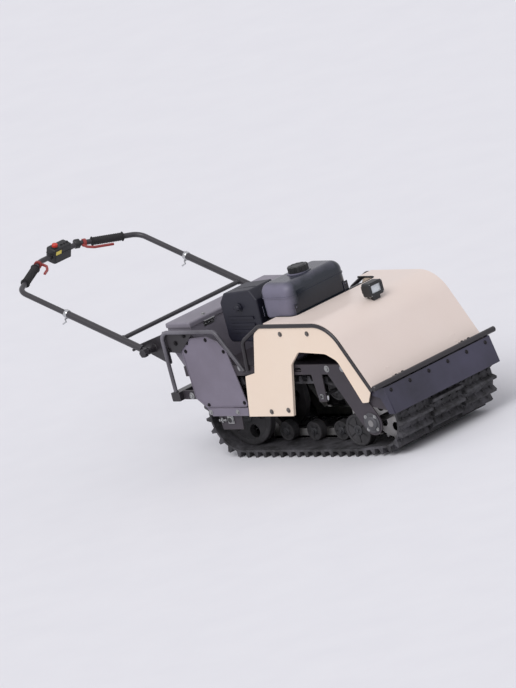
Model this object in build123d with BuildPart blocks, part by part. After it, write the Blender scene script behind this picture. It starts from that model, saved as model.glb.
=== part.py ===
from build123d import *
from math import atan2, cos, degrees, pi, radians, sin, tan
import os

os.makedirs("parts", exist_ok=True)

# Tracked walk-behind snow tug. X forward, Y left, Z up, millimetres, the floor at Z 0.
# A place along the machine is given as its distance back from the foot of the bumper.

# Clearances
seat = 0.3
run_gap = 0.05
swing_gap = 10.0

# Track loop: outer face of the belt round four pulleys
belt_w = 600.0
belt_t = 10.0
lug_h = 25.0
lug_foot, lug_tip = 26.0, 12.0
lug_gap = 8.0
teeth = 15
drive_b, drive_z, drive_r = 158.0, 165.0, 125.0
nose_b, nose_r = 330.0, 83.0
idler_b, idler_r = 1030.0, 160.0
carrier_b, carrier_r = 430.0, 60.0
belt_bottom = lug_h
idler_z = belt_bottom + idler_r
nose_z = belt_bottom + nose_r
belt_top = idler_z + idler_r
carrier_z = belt_top - carrier_r
lug_pitch = 2 * pi * drive_r / teeth

# Chassis: deck plate between two side plates
belt_side_gap = 20.0
side_y = belt_w / 2 + belt_side_gap
side_t = 6.0
side_out = side_y + side_t
arm_t = 6.0
rail_low, rail_high = 385.0, 430.0
deck_z = 400.0
deck_t = 4.0
deck_front_b, deck_back_b = 190.0, 1240.0
deck_top = deck_z + deck_t

# Guard tubes, front hoop and rear hoop, one pair each side
guard_r = 9.0
guard_gap = 10.0
guard_y = side_out + guard_gap + guard_r
guard_top = 613.0
guard_slope = 60.0
guard_foot_b, guard_foot_z = 95.0, 312.0
guard_front_bend = 164.0
guard_heel_b, guard_heel_z = 826.0, 412.0
guard_elbow_b, guard_elbow_z = guard_heel_b - 14.0, 545.0
guard_corner_b = guard_heel_b - 136.0
guard_bend = 40.0
rear_guard_top = 592.0
rear_guard_toe_b = guard_heel_b + 2 * guard_r + 6.0
rear_guard_nose_b = rear_guard_toe_b + 122.0
strut_b = 1308.0

# Bumper
panel_foot_z = 205.0
panel_top_b = 29.0
panel_half = guard_y - 15.0
panel_t = 5.0
bar_b, bar_z, bar_r = 40.0, 336.0, 12.5
bar_half = guard_y + 40.0
panel_top_z = bar_z - bar_r - seat - 1.5

# Engine, crank axis across the machine, seen from its drive side inwards
chain_right = belt_w / 2 + 3.5
cover_left = chain_right - 24.0
cover_w = 140.0
cover_right = cover_left - cover_w
case_w = 270.0
case_left = cover_right - 10.0
case_right = case_left - case_w
engine_y = (case_left + case_right) / 2
crank_b, crank_z = 650.0, 505.0
case_l = 188.0
tank_w, tank_l, tank_h = 358.0, 194.0, 155.0
tank_y, tank_b, tank_z = engine_y - 65.0, crank_b, 611.0
jack_b, jack_z = 400.0, 500.0
head_y, head_w = engine_y + 15.0, 140.0

# Hood, its hinge and its lamp
hood_t = 4.0
hood_lift = guard_r + seat + hood_t
hood_half = guard_y
hood_flange = 18.0
hood_foot_z = 326.0
hood_back_b = tank_b - tank_l / 2 - 12.0
hood_tail_b = 655.0
tail_inner = tank_w / 2 - tank_y + 9.0
hinge_b, hinge_z = 70.0, 326.0
hinge_pin_r = 5.0
hinge_y = 210.0
lamp_b, lamp_z = 306.0, 660.0
lamp_w, lamp_h, lamp_d = 84.0, 62.0, 50.0

# Fender and rear panel sheets
fender_t = 4.0
fender_inner = guard_y - fender_t / 2
panel_sheet_t = 3.0

# Handlebar: plane through the pivot, rising to the rear, a loop in two sleeves
pivot_b, pivot_z = 1381.0, 520.0
handle_rise = 22.0
handle_r = 12.0
sleeve_r = 15.5
sleeve_len = 490.0
handle_arm = 760.0
handle_crown = 125.0
crown_half = 120.0
handle_bend = 60.0
cross_u, cross_r = 155.0, 10.0
handle_y = guard_y + guard_r + swing_gap + sleeve_r
eye_t = 8.0
pivot_pin_r = 6.0
pod_w, pod_l, pod_drop, pod_h = 110.0, 56.0, 26.0, 66.0

# Tow cross member and its hitch
tow_z = 300.0
tow_w, tow_h = 50.0, 40.0
ear_t = 8.0
hitch_r = 8.5
hitch_back = 35.0

# Middle of the overall length
rise = radians(handle_rise)
reach_b = pivot_b + (handle_arm + handle_crown + pod_l / 2) * cos(rise) + pod_drop * sin(rise)
nose_x = reach_b / 2


def at(back, up):
    return (nose_x - back, up)


def route(points):
    return [at(b, z) for b, z in points]


def across(y_high):
    # side-view plane whose extrusions run towards the right side from y_high
    return Plane.XZ.offset(-y_high)


def sheet(side, inner, thick):
    return across(inner + thick if side > 0 else -inner)


def keep(builder, name):
    builder.part.label = name
    export_step(builder.part, f"parts/{name}.step")


sides = ((-1, "right"), (1, "left"))

# Guard tubes
run_in = (guard_top - guard_foot_z) / tan(radians(guard_slope))
front_guard_route = route([
    (guard_foot_b, guard_foot_z),
    (guard_foot_b + run_in, guard_top),
    (guard_corner_b, guard_top),
    (guard_elbow_b, guard_elbow_z),
    (guard_heel_b, guard_heel_z),
])
front_guard_bends = (guard_front_bend, guard_bend, guard_bend)
tow_top = tow_z + tow_h / 2
rear_guard_route = route([
    (rear_guard_toe_b, guard_heel_z),
    (rear_guard_nose_b, rear_guard_top),
    (strut_b, rear_guard_top),
    (strut_b, tow_top),
])
for side, name in sides:
    for guard_name, points, bends in (
        ("front_guard", front_guard_route, front_guard_bends),
        ("rear_guard", rear_guard_route, (guard_bend, guard_bend)),
    ):
        with BuildPart() as guard:
            with BuildLine(across(side * guard_y)) as path:
                FilletPolyline(*points, radius=bends)
            with BuildSketch(Plane(origin=path.line @ 0, z_dir=path.line % 0)):
                Circle(guard_r)
            sweep()
        keep(guard, f"{guard_name}_{name}")

# Chassis: side plates with front, rear and tow arms, the deck and the guard feet
foot_reach = guard_gap - seat
hanger = 30.0
idler_arm = 72.0
arm_foot_z = idler_z - 45.0
tow_low = tow_z - tow_h / 2
plate_nose_z = 316.0
plate_shape = route([
    (bar_b - 5, plate_nose_z), (bar_b + 60, plate_nose_z), (deck_front_b - 5, rail_high),
    (deck_back_b, rail_high), (deck_back_b, rail_low),
    (idler_b + 85, rail_low), (idler_b + 75, tow_top), (strut_b - tow_w / 2, tow_top),
    (strut_b - tow_w / 2, tow_low), (idler_b + 82, tow_low), (idler_b + idler_arm - 10, arm_foot_z),
    (idler_b - idler_arm + 10, arm_foot_z), (idler_b - 85, 300), (idler_b - 105, rail_low),
    (carrier_b + hanger + 2, rail_low), (carrier_b + hanger - 8, carrier_z - 24),
    (carrier_b - hanger + 8, carrier_z - 24), (carrier_b - hanger - 2, rail_low),
    (deck_front_b + 60, rail_low), (drive_b - 8, panel_foot_z + 33), (bar_b - 5, panel_foot_z + 10),
])
slot_middle_b, slot_pitch = (deck_front_b + deck_back_b) / 2 - 15, 140.0
slot_z = (rail_low + rail_high) / 2
chain_slot_l, chain_slot_w = 230.0, side_y - chain_right + 4
chain_slot_b = jack_b + (drive_b - jack_b) * (jack_z - deck_z) / (jack_z - drive_z)
idler_shaft_r, carrier_shaft_r = 12.0, 8.0
with BuildPart() as chassis:
    for side, name in sides:
        with BuildSketch(sheet(side, side_y, side_t)):
            with BuildLine():
                Polyline(*plate_shape, close=True)
            make_face()
            for b, z, r in ((idler_b, idler_z, idler_shaft_r), (carrier_b, carrier_z, carrier_shaft_r)):
                with Locations(at(b, z)):
                    Circle(r + seat, mode=Mode.SUBTRACT)
            with Locations(*[at(slot_middle_b + i * slot_pitch, slot_z) for i in (-1, 0, 1)]):
                SlotOverall(90, 20, mode=Mode.SUBTRACT)
        extrude(amount=side_t)
        with BuildSketch(sheet(side, side_out, foot_reach)):
            with Locations(at((guard_heel_b + rear_guard_toe_b) / 2, guard_heel_z)):
                Rectangle(90, 34)
        extrude(amount=foot_reach)
    with BuildSketch(Plane.XY.offset(deck_z)):
        with Locations((nose_x - (deck_front_b + deck_back_b) / 2, 0)):
            Rectangle(deck_back_b - deck_front_b, 2 * side_y)
        with Locations((nose_x - chain_slot_b, side_y - chain_slot_w / 2)):
            Rectangle(chain_slot_l, chain_slot_w, mode=Mode.SUBTRACT)
    extrude(amount=deck_t)
keep(chassis, "chassis")

# Tow cross member with its two-ear hitch
with BuildPart() as tow_bar:
    with BuildSketch(Plane.XZ.offset(-(guard_y + guard_r))):
        with Locations(at(strut_b, tow_z)):
            RectangleRounded(tow_w, tow_h, 5)
    extrude(amount=2 * (guard_y + guard_r))
    for z in (tow_z - tow_h / 2, tow_z + tow_h / 2 - ear_t):
        with BuildSketch(Plane.XY.offset(z)):
            ear_x = nose_x - strut_b - tow_w / 2
            with Locations((ear_x - hitch_back / 2, 0)):
                Rectangle(hitch_back, 60)
            with Locations((ear_x - hitch_back, 0)):
                Circle(30)
                Circle(hitch_r, mode=Mode.SUBTRACT)
        extrude(amount=ear_t)
keep(tow_bar, "tow_bar")

# Bumper: folded panel with side cheeks, and the cross tube with its hinge ears
cheek_t = guard_gap - seat
cheek_top = bar_z - bar_r - seat
cheek_end_b = guard_foot_b + 17.0
with BuildPart() as bumper_panel:
    with BuildSketch(across(panel_half)):
        with BuildLine():
            Polyline(*route([(0, panel_foot_z), (panel_top_b, panel_top_z)]))
            offset(amount=panel_t, side=Side.LEFT)
        make_face()
    extrude(amount=2 * panel_half)
    for side, name in sides:
        with BuildSketch(sheet(side, side_out, cheek_t)):
            with BuildLine():
                Polyline(*route([
                    (2, panel_foot_z), (panel_top_b, cheek_top), (cheek_end_b, cheek_top),
                    (cheek_end_b, cheek_top - 34), (cheek_end_b - 46, cheek_top - 46), (34, panel_foot_z),
                ]), close=True)
            make_face()
        extrude(amount=cheek_t)
keep(bumper_panel, "bumper_panel")

ear_half = 14.0
ear_w = 5.0
knuckle_w = 30.0
with BuildPart() as bumper_bar:
    with BuildSketch(across(bar_half)):
        with Locations(at(bar_b, bar_z)):
            Circle(bar_r)
    extrude(amount=2 * bar_half)
    chamfer(bumper_bar.edges().filter_by(GeomType.CIRCLE), bar_r / 4)
    for y in (-hinge_y, hinge_y):
        for inner in (knuckle_w / 2 + 1, -knuckle_w / 2 - 1 - ear_w):
            with BuildSketch(across(y + inner + ear_w)):
                with Locations(at((bar_b + hinge_b) / 2, (bar_z + hinge_z) / 2)):
                    Rectangle(hinge_b - bar_b, 2 * ear_half - 6)
                with Locations(at(hinge_b, hinge_z)):
                    Circle(ear_half - 3)
            extrude(amount=ear_w)
    with BuildSketch(across(bar_half)):
        with Locations(at(hinge_b, hinge_z)):
            Circle(hinge_pin_r + run_gap)
    extrude(amount=2 * bar_half, mode=Mode.SUBTRACT)
keep(bumper_bar, "bumper_bar")

# Fenders: side sheet under the guard tube, open behind its elbow, with a turned-in wheel arch
arch = (
    (614, panel_foot_z), (546, 438), (484, 496), (318, 486), (256, 454), (164, panel_foot_z + 55),
)
arch_bends = (24, 28, 70, 60)
lip_inner = side_out + arm_t + 1.0
fender_rear = (
    (guard_heel_b - 126, guard_top), (guard_heel_b - 96, 572), (guard_heel_b - 40, guard_heel_z - 10),
    (guard_heel_b + 22, guard_heel_z - 24), (guard_heel_b + 62, panel_foot_z),
)
fender_front = ((132, panel_foot_z + 58), (guard_foot_b + 8, guard_foot_z))
for side, name in sides:
    with BuildPart() as fender:
        with BuildSketch(sheet(side, fender_inner, fender_t)):
            with BuildLine():
                FilletPolyline(*front_guard_route[:2], at(*fender_rear[0]), radius=guard_front_bend)
                Polyline(*route(fender_rear), at(*arch[0]))
                FilletPolyline(*route(arch), radius=arch_bends)
                Polyline(at(*arch[-1]), *route(fender_front), front_guard_route[0])
            make_face()
            with BuildLine():
                offset(
                    FilletPolyline(*front_guard_route, radius=front_guard_bends, mode=Mode.PRIVATE),
                    amount=guard_r + seat,
                )
            make_face(mode=Mode.SUBTRACT)
        extrude(amount=fender_t)
        with BuildSketch(sheet(side, lip_inner, fender_inner - lip_inner)):
            with BuildLine():
                FilletPolyline(*route(arch), radius=arch_bends)
                offset(amount=fender_t, side=Side.LEFT)
            make_face()
        extrude(amount=fender_inner - lip_inner)
    keep(fender, f"fender_{name}")

# Rear side panels with a lower sill, their corners as distances behind the idler axle and heights
sill_low, sill_high = 204.0, 240.0
panel_corners = (
    (193, 498), (160, 556), (21, 566), (-45, 540), (-85, 498), (-134, 244), (120, 235), (180, 283),
)
sill_corners = ((-134, sill_high), (120, sill_high), (98, sill_low), (-126, sill_low))
for side, name in sides:
    with BuildPart() as rear_panel:
        with BuildSketch(sheet(side, side_out, panel_sheet_t)):
            with BuildLine():
                FilletPolyline(*[at(idler_b + d, z) for d, z in panel_corners], radius=14, close=True)
            make_face()
        extrude(amount=panel_sheet_t)
        with BuildSketch(sheet(side, side_out, 3 * panel_sheet_t)):
            with BuildLine():
                Polyline(*[at(idler_b + d, z) for d, z in sill_corners], close=True)
            make_face()
        extrude(amount=3 * panel_sheet_t)
    keep(rear_panel, f"rear_panel_{name}")

# Rear box on the deck, with an overhanging lid
lid_half = side_y - 5.0
box_half = lid_half - 4.0
box_top = 625.0
lid_h = 22.0
box_front_b, box_back_b = 1149.0, strut_b - 16.0
box_step_z = 500.0
with BuildPart() as rear_box:
    with BuildSketch(across(box_half)):
        with BuildLine():
            Polyline(*route([
                (box_front_b - 12, deck_top), (deck_back_b - 4, deck_top), (box_back_b, box_step_z),
                (box_back_b, box_top - lid_h), (box_front_b, box_top - lid_h),
            ]), close=True)
        make_face()
    extrude(amount=2 * box_half)
    with BuildSketch(across(lid_half)):
        with Locations(at((box_front_b + box_back_b) / 2, box_top - lid_h / 2)):
            Rectangle(box_back_b - box_front_b + 8, lid_h)
    extrude(amount=2 * lid_half)
    fillet(rear_box.faces().sort_by(Axis.Z)[-1].edges(), 8)
keep(rear_box, "rear_box")

# Track: belt loop with three staggered columns of lugs
pulleys = (
    (drive_b, drive_z, drive_r), (nose_b, nose_z, nose_r),
    (idler_b, idler_z, idler_r), (carrier_b, carrier_z, carrier_r),
)


def loop_edges(shrink):
    return [
        Edge.make_circle(r - shrink, Plane((nose_x - b, z, 0))) for b, z, r in pulleys
    ]


loop_wire = Wire.make_convex_hull(loop_edges(0))
lug_count = round(loop_wire.length / lug_pitch)
loop_middle = Vector(nose_x - (drive_b + idler_b) / 2, idler_z, 0)
column_w = (belt_w - 2 * lug_gap) / 3
columns = ((-1, 0.0), (0, 0.5), (1, 0.0))
nub_h, nub_foot, nub_tip, nub_w = 9.0, 14.0, 8.0, 18.0
sprocket_rows = (80.0, belt_w / 2 - 90.0)


def on_loop(share):
    # a point of the belt's outer face and the way out from it
    point = loop_wire.position_at(share)
    way = loop_wire.tangent_at(share)
    out = Vector(way.Y, -way.X, 0)
    return point, (out if out.dot(point - loop_middle) > 0 else -out)


def cog(share, low, high, foot, tip):
    # tapered profile that stands across the belt from height low to height high
    point, out = on_loop(share)
    flat = Vector(-out.Y, out.X, 0)
    ends = [(low, -foot), (low, foot), (high, tip), (high, -tip)]
    corners = [point + out * h + flat * (w / 2) for h, w in ends]
    return [(v.X, v.Y) for v in corners]


with BuildPart() as track:
    with BuildSketch(across(belt_w / 2)):
        make_hull(loop_edges(0))
        make_hull(loop_edges(belt_t), mode=Mode.SUBTRACT)
    extrude(amount=belt_w)
    for column, phase in columns:
        with BuildSketch(across(column * (column_w + lug_gap) + column_w / 2)):
            for i in range(lug_count):
                with BuildLine():
                    Polyline(*cog((i + phase) / lug_count, -2, lug_h, lug_foot, lug_tip), close=True)
                make_face()
        extrude(amount=column_w)
    for y in (-sprocket_rows[0], sprocket_rows[0]):
        with BuildSketch(across(y + nub_w / 2)):
            for i in range(lug_count):
                with BuildLine():
                    Polyline(*cog(i / lug_count, 2 - belt_t, -belt_t - nub_h, nub_foot, nub_tip), close=True)
                make_face()
        extrude(amount=nub_w)
keep(track, "track")

# Drive axle with sprockets whose teeth stand between the belt's nubs
drive_shaft_r = 15.0
sprocket_root = drive_r - belt_t - 13
sprocket_tip = drive_r - belt_t - seat
sprocket_w = 20.0
hub = Vector(*at(drive_b, drive_z))
front_nub = min(
    (on_loop(i / lug_count)[0] - hub for i in range(lug_count)),
    key=lambda v: (v - Vector(drive_r, 0, 0)).length,
)
tooth_turn = degrees(atan2(front_nub.Y, front_nub.X)) + 180 / teeth
with BuildPart() as drive_axle:
    with BuildSketch(across(side_out + arm_t + 10)):
        with Locations(at(drive_b, drive_z)):
            Circle(drive_shaft_r)
    extrude(amount=2 * (side_out + arm_t + 10))
    for row in sprocket_rows:
        for y in (-row, row):
            with BuildSketch(across(y + sprocket_w / 2)):
                with Locations(at(drive_b, drive_z)):
                    Circle(sprocket_root)
                    with PolarLocations(sprocket_root - 2, teeth, start_angle=tooth_turn):
                        Trapezoid(18, sprocket_tip - sprocket_root + 2, 68, rotation=-90,
                                  align=(Align.CENTER, Align.MIN))
                    with PolarLocations(sprocket_root * 0.58, 5):
                        Circle(sprocket_root * 0.2, mode=Mode.SUBTRACT)
            extrude(amount=sprocket_w)
keep(drive_axle, "drive_axle")

# Rear idler axle, three lightened wheels
wheel_r = idler_r - belt_t - seat
wheel_w = 30.0
with BuildPart() as rear_idler:
    with BuildSketch(across(side_out + 9)):
        with Locations(at(idler_b, idler_z)):
            Circle(idler_shaft_r)
    extrude(amount=2 * (side_out + 9))
    for y in (80 - belt_w / 2, 0, belt_w / 2 - 80):
        with BuildSketch(across(y + wheel_w / 2)):
            with Locations(at(idler_b, idler_z)):
                Circle(wheel_r)
                with PolarLocations(wheel_r * 0.6, 5):
                    Circle(wheel_r * 0.2, mode=Mode.SUBTRACT)
        extrude(amount=wheel_w)
keep(rear_idler, "rear_idler")

# Slide rails inside the loop
rail_y, rail_w = 125.0, 25.0
rail_foot = belt_bottom + belt_t + seat
nose_shaft_r = 10.0
rail_front_b, rail_back_b = 385.0, 985.0
rail_h = 44.0
links = (
    ((nose_b, nose_z), (rail_front_b + 15, 68), 20), ((idler_b, idler_z), (rail_back_b - 35, 68), 24),
    ((carrier_b, carrier_z), (carrier_b + 20, 60), 18),
)
with BuildPart() as slide_rails:
    for side, name in sides:
        with BuildSketch(sheet(side, rail_y, rail_w)):
            with Locations(at((rail_front_b + rail_back_b) / 2, rail_foot + rail_h / 2)):
                Rectangle(rail_back_b - rail_front_b, rail_h)
            for low, high, half in links:
                run = Vector(*at(*high)) - Vector(*at(*low))
                mid = (Vector(*at(*high)) + Vector(*at(*low))) / 2
                with Locations((mid.X, mid.Y)):
                    SlotCenterToCenter(run.length, 2 * half, rotation=degrees(atan2(run.Y, run.X)))
            for b, z, r in (
                (nose_b, nose_z, nose_shaft_r), (idler_b, idler_z, idler_shaft_r),
                (carrier_b, carrier_z, carrier_shaft_r),
            ):
                with Locations(at(b, z)):
                    Circle(r + seat, mode=Mode.SUBTRACT)
        extrude(amount=rail_w)
keep(slide_rails, "slide_rails")

# Rollers: nose and bogie rollers on the rails, carrier rollers under the top run
roller_w = 36.0
bogie_r = 44.0
bogie_w = 34.0
bogie_pitch = 170.0
bogie_middle_b = (rail_front_b + rail_back_b) / 2 + 5
bogies = tuple((bogie_middle_b + i * bogie_pitch, rail_foot + bogie_r) for i in (-1, 0, 1))
with BuildPart() as nose_rollers:
    with BuildSketch(across(belt_w / 2 - 35)):
        with Locations(at(nose_b, nose_z)):
            Circle(nose_shaft_r)
    extrude(amount=belt_w - 70)
    for y in (55 - belt_w / 2, 0, belt_w / 2 - 55):
        with BuildSketch(across(y + roller_w / 2)):
            with Locations(at(nose_b, nose_z)):
                Circle(nose_r - belt_t - seat)
        extrude(amount=roller_w)
keep(nose_rollers, "nose_rollers")

with BuildPart() as carrier_rollers:
    with BuildSketch(across(side_out + 5)):
        with Locations(at(carrier_b, carrier_z)):
            Circle(carrier_shaft_r)
    extrude(amount=2 * (side_out + 5))
    for y in (85 - belt_w / 2, 0, belt_w / 2 - 85):
        with BuildSketch(across(y + roller_w / 2)):
            with Locations(at(carrier_b, carrier_z)):
                Circle(carrier_r - belt_t - seat)
        extrude(amount=roller_w)
keep(carrier_rollers, "carrier_rollers")

with BuildPart() as bogie_wheels:
    for side, name in sides:
        for b, z in bogies:
            with BuildSketch(sheet(side, rail_y + rail_w + seat, bogie_w)):
                with Locations(at(b, z)):
                    Circle(bogie_r)
            extrude(amount=bogie_w)
keep(bogie_wheels, "bogie_wheels")

# Front arms that carry the drive axle
for side, name in sides:
    with BuildPart() as front_arm:
        with BuildSketch(sheet(side, side_out, arm_t)):
            with BuildLine():
                CenterArc(at(drive_b, drive_z), 56, 0, 360)
                CenterArc(at(drive_b + 97, rail_high - 18), 16, 0, 360)
                CenterArc(at(drive_b + 192, rail_high - 18), 16, 0, 360)
            make_hull()
            with Locations(at(drive_b, drive_z)):
                Circle(drive_shaft_r + seat, mode=Mode.SUBTRACT)
        extrude(amount=arm_t)
    keep(front_arm, f"front_arm_{name}")

# Engine: crankcase, finned cylinder, tank, starter, filter, exhaust and drive covers
case_front_b, case_back_b = crank_b - case_l / 2, crank_b + case_l / 2
case_top, case_waist = tank_z - seat, 560.0
mount_l, mount_w, mount_h = 240.0, 40.0, 12.0
with BuildPart() as engine_block:
    with BuildSketch(across(case_left)):
        with BuildLine():
            FilletPolyline(*route([
                (case_front_b, deck_top), (case_back_b, deck_top), (case_back_b, case_waist),
                (case_back_b - 28, case_top), (case_front_b + 18, case_top), (case_front_b, case_waist),
            ]), radius=10, close=True)
        make_face()
    extrude(amount=case_w)
    for y_high in (case_left - 20, case_right + 20 + mount_w):
        with BuildSketch(across(y_high)):
            with Locations(at(crank_b, deck_top + mount_h / 2)):
                Rectangle(mount_l, mount_h)
        extrude(amount=mount_w)
keep(engine_block, "engine_block")

head_lean = 25.0
lean_dir = Vector(-cos(radians(head_lean)), 0, sin(radians(head_lean)))
head_b, head_z = case_back_b + seat, 548.0
head_flange_t = 10.0
barrel_w, barrel_h = 84.0, 76.0
fin_h, fin_t, fin_pitch, fins = 118.0, 4.0, 11.0, 7
fin_start = 34.0
cover_start = fin_start + fin_pitch * fins - 3
head_foot = Vector(nose_x - head_b - head_flange_t / 2, head_y, head_z)


def head_plane(out):
    return Plane(origin=head_foot + lean_dir * out, x_dir=(0, 1, 0), z_dir=lean_dir)


with BuildPart() as cylinder_head:
    with BuildSketch(Plane.YZ.offset(nose_x - head_b)):
        with Locations((head_y, head_z - 6)):
            RectangleRounded(barrel_w + 24, barrel_h + 36, 10)
    extrude(amount=-head_flange_t)
    with BuildSketch(head_plane(-30)):
        RectangleRounded(barrel_w, barrel_h, 20)
    extrude(amount=30 + cover_start + 22)
    split(bisect_by=Plane.YZ.offset(nose_x - head_b), keep=Keep.BOTTOM)
    for i in range(fins):
        with BuildSketch(head_plane(fin_start + fin_pitch * i)):
            RectangleRounded(head_w, fin_h, 14)
        extrude(amount=fin_t)
    with BuildSketch(head_plane(cover_start)):
        RectangleRounded(head_w - 30, fin_h - 28, 12)
    extrude(amount=36)
keep(cylinder_head, "cylinder_head")

# Fuel tank of two pressed halves, with the seam's rim, and its cap
tank_corner, tank_crown, tank_foot = 48.0, 44.0, 16.0
seam_t, seam_lip = 5.0, 3.0
cap_r, cap_h, cap_notch = 46.0, 30.0, 6.0
with BuildPart() as fuel_tank:
    with BuildSketch(Plane.XY.offset(tank_z)):
        with Locations((nose_x - tank_b, tank_y)):
            RectangleRounded(tank_l, tank_w, tank_corner)
    extrude(amount=tank_h)
    fillet(fuel_tank.faces().sort_by(Axis.Z)[-1].edges(), tank_crown)
    fillet(fuel_tank.faces().sort_by(Axis.Z)[0].edges(), tank_foot)
    with BuildSketch(Plane.XY.offset(tank_z + 0.6 * tank_h)):
        with Locations((nose_x - tank_b, tank_y)):
            RectangleRounded(tank_l + 2 * seam_lip, tank_w + 2 * seam_lip, tank_corner + seam_lip)
    extrude(amount=seam_t)
keep(fuel_tank, "fuel_tank")

with BuildPart() as tank_cap:
    with BuildSketch(Plane.XY.offset(tank_z + tank_h)):
        with Locations((nose_x - tank_b, tank_y)):
            Circle(cap_r)
            with PolarLocations(cap_r + 2, 12):
                Circle(cap_notch, mode=Mode.SUBTRACT)
    extrude(amount=cap_h)
    chamfer(tank_cap.faces().sort_by(Axis.Z)[-1].edges().filter_by(GeomType.CIRCLE), 2)
keep(tank_cap, "tank_cap")

starter_r, starter_d, starter_round = 98.0, 70.0, 16.0
slot_l, slot_w, slot_d = 34.0, 9.0, 6.0
with BuildPart() as recoil_starter:
    with BuildSketch(across(case_right)):
        with Locations(at(crank_b, crank_z)):
            Circle(starter_r)
    extrude(amount=starter_d)
    fillet(recoil_starter.faces().sort_by(Axis.Y)[0].edges(), starter_round)
    with BuildSketch(across(case_right - starter_d + slot_d)):
        with Locations(at(crank_b, crank_z)):
            with PolarLocations(60, 12):
                SlotOverall(slot_l, slot_w)
    extrude(amount=slot_d + 0.4, mode=Mode.SUBTRACT)
keep(recoil_starter, "recoil_starter")

# Air cleaner on the carburettor's side of the cylinder
carb_b, carb_z, carb_size, bowl_r = head_b + 67.7, head_z + 27.0, 46.0, 17.0
carb_len = 40.0
head_right = head_y - head_w / 2
filter_left = head_right - carb_len
filter_w = 145.0
filter_front_b, filter_back_b = carb_b - 42.0, carb_b + 188.0
filter_low, filter_top = 510.0, 745.0
with BuildPart() as air_cleaner:
    with BuildSketch(across(filter_left)):
        with BuildLine():
            FilletPolyline(*route([
                (filter_front_b, filter_low + 12), (filter_front_b, filter_top - 46),
                (filter_front_b + 32, filter_top), (filter_back_b - 34, filter_top - 14),
                (filter_back_b, filter_top - 56), (filter_back_b, filter_low + 22),
                (filter_back_b - 14, filter_low), (filter_front_b + 16, filter_low),
            ]), radius=12, close=True)
        make_face()
    extrude(amount=filter_w)
    fillet(air_cleaner.faces().sort_by(Axis.Y)[0].edges(), 8)
keep(air_cleaner, "air_cleaner")

with BuildPart() as carburettor:
    with BuildSketch(across(head_right - seat)):
        with Locations(at(carb_b, carb_z)):
            RectangleRounded(carb_size, carb_size, 8)
    extrude(amount=carb_len - 2 * seat)
    with BuildSketch(Plane.XY.offset(carb_z - carb_size / 2 - 27)):
        with Locations((nose_x - carb_b, head_right - carb_len / 2)):
            Circle(bowl_r)
    extrude(amount=carb_size + 4)
keep(carburettor, "carburettor")

# Exhaust box with its port against the cylinder and its tail pipe
port_r, port_l = 18.0, 8.0
exhaust_w, exhaust_bend = 170.0, 34.0
exhaust_front_b, exhaust_back_b = head_b + 40.7, head_b + 215.7
exhaust_low, exhaust_top = 480.0, 600.0
exhaust_right = head_y + head_w / 2 + seat + port_l
tail_r, tail_l = 14.0, 46.0
with BuildPart() as muffler:
    with BuildSketch(across(exhaust_right + exhaust_w)):
        with Locations(at((exhaust_front_b + exhaust_back_b) / 2, (exhaust_low + exhaust_top) / 2)):
            RectangleRounded(exhaust_back_b - exhaust_front_b, exhaust_top - exhaust_low, exhaust_bend)
    extrude(amount=exhaust_w)
    fillet(muffler.faces().sort_by(Axis.Y)[-1].edges(), 14)
    with BuildSketch(across(exhaust_right)):
        with Locations(at(exhaust_front_b + 30, exhaust_top - 40)):
            Circle(port_r)
    extrude(amount=port_l)
    with BuildSketch(Plane.YZ.offset(nose_x - exhaust_back_b)):
        with Locations((exhaust_right + exhaust_w - 37, exhaust_low + 30)):
            Circle(tail_r)
    extrude(amount=-tail_l)
keep(muffler, "muffler")

# Belt guard over the crank and the jackshaft, then the chain case down to the drive axle
cover_r, hub_r = 90.0, 40.0
with BuildPart() as belt_guard:
    with BuildSketch(across(cover_left)):
        with BuildLine():
            CenterArc(at(crank_b, crank_z), cover_r, 0, 360)
            CenterArc(at(jack_b, jack_z), cover_r, 0, 360)
        make_hull()
    extrude(amount=cover_w)
    fillet(belt_guard.faces().sort_by(Axis.Y)[-1].edges(), 14)
    with BuildSketch(across(cover_right)):
        with Locations(at(crank_b, crank_z)):
            Circle(hub_r)
    extrude(amount=cover_right - case_left - seat)
keep(belt_guard, "belt_guard")

case_upper_r, case_lower_r, jack_r = 60.0, 46.0, 16.0
with BuildPart() as chain_case:
    with BuildSketch(across(side_y - seat)):
        with BuildLine():
            CenterArc(at(jack_b, jack_z), case_upper_r, 0, 360)
            CenterArc(at(drive_b, drive_z), case_lower_r, 0, 360)
        make_hull()
        with Locations(at(drive_b, drive_z)):
            Circle(drive_shaft_r + seat, mode=Mode.SUBTRACT)
    extrude(amount=side_y - seat - chain_right)
    with BuildSketch(across(chain_right)):
        with Locations(at(jack_b, jack_z)):
            Circle(jack_r)
    extrude(amount=chain_right - cover_left - seat)
keep(chain_case, "chain_case")

# Hood: one sheet over both hoops, its flanges between them, notched round the tank
slope = radians(guard_slope)
lift_foot_b = guard_foot_b - hood_lift * sin(slope)
lift_foot_z = guard_foot_z + hood_lift * cos(slope)
hood_top = guard_top + hood_lift
flange_y = guard_y - guard_r - 3.0
flange_foot_z = hood_foot_z + 14.0
notch_r = 30.0


def hood_b(height):
    return lift_foot_b + (height - lift_foot_z) / tan(slope)


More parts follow.
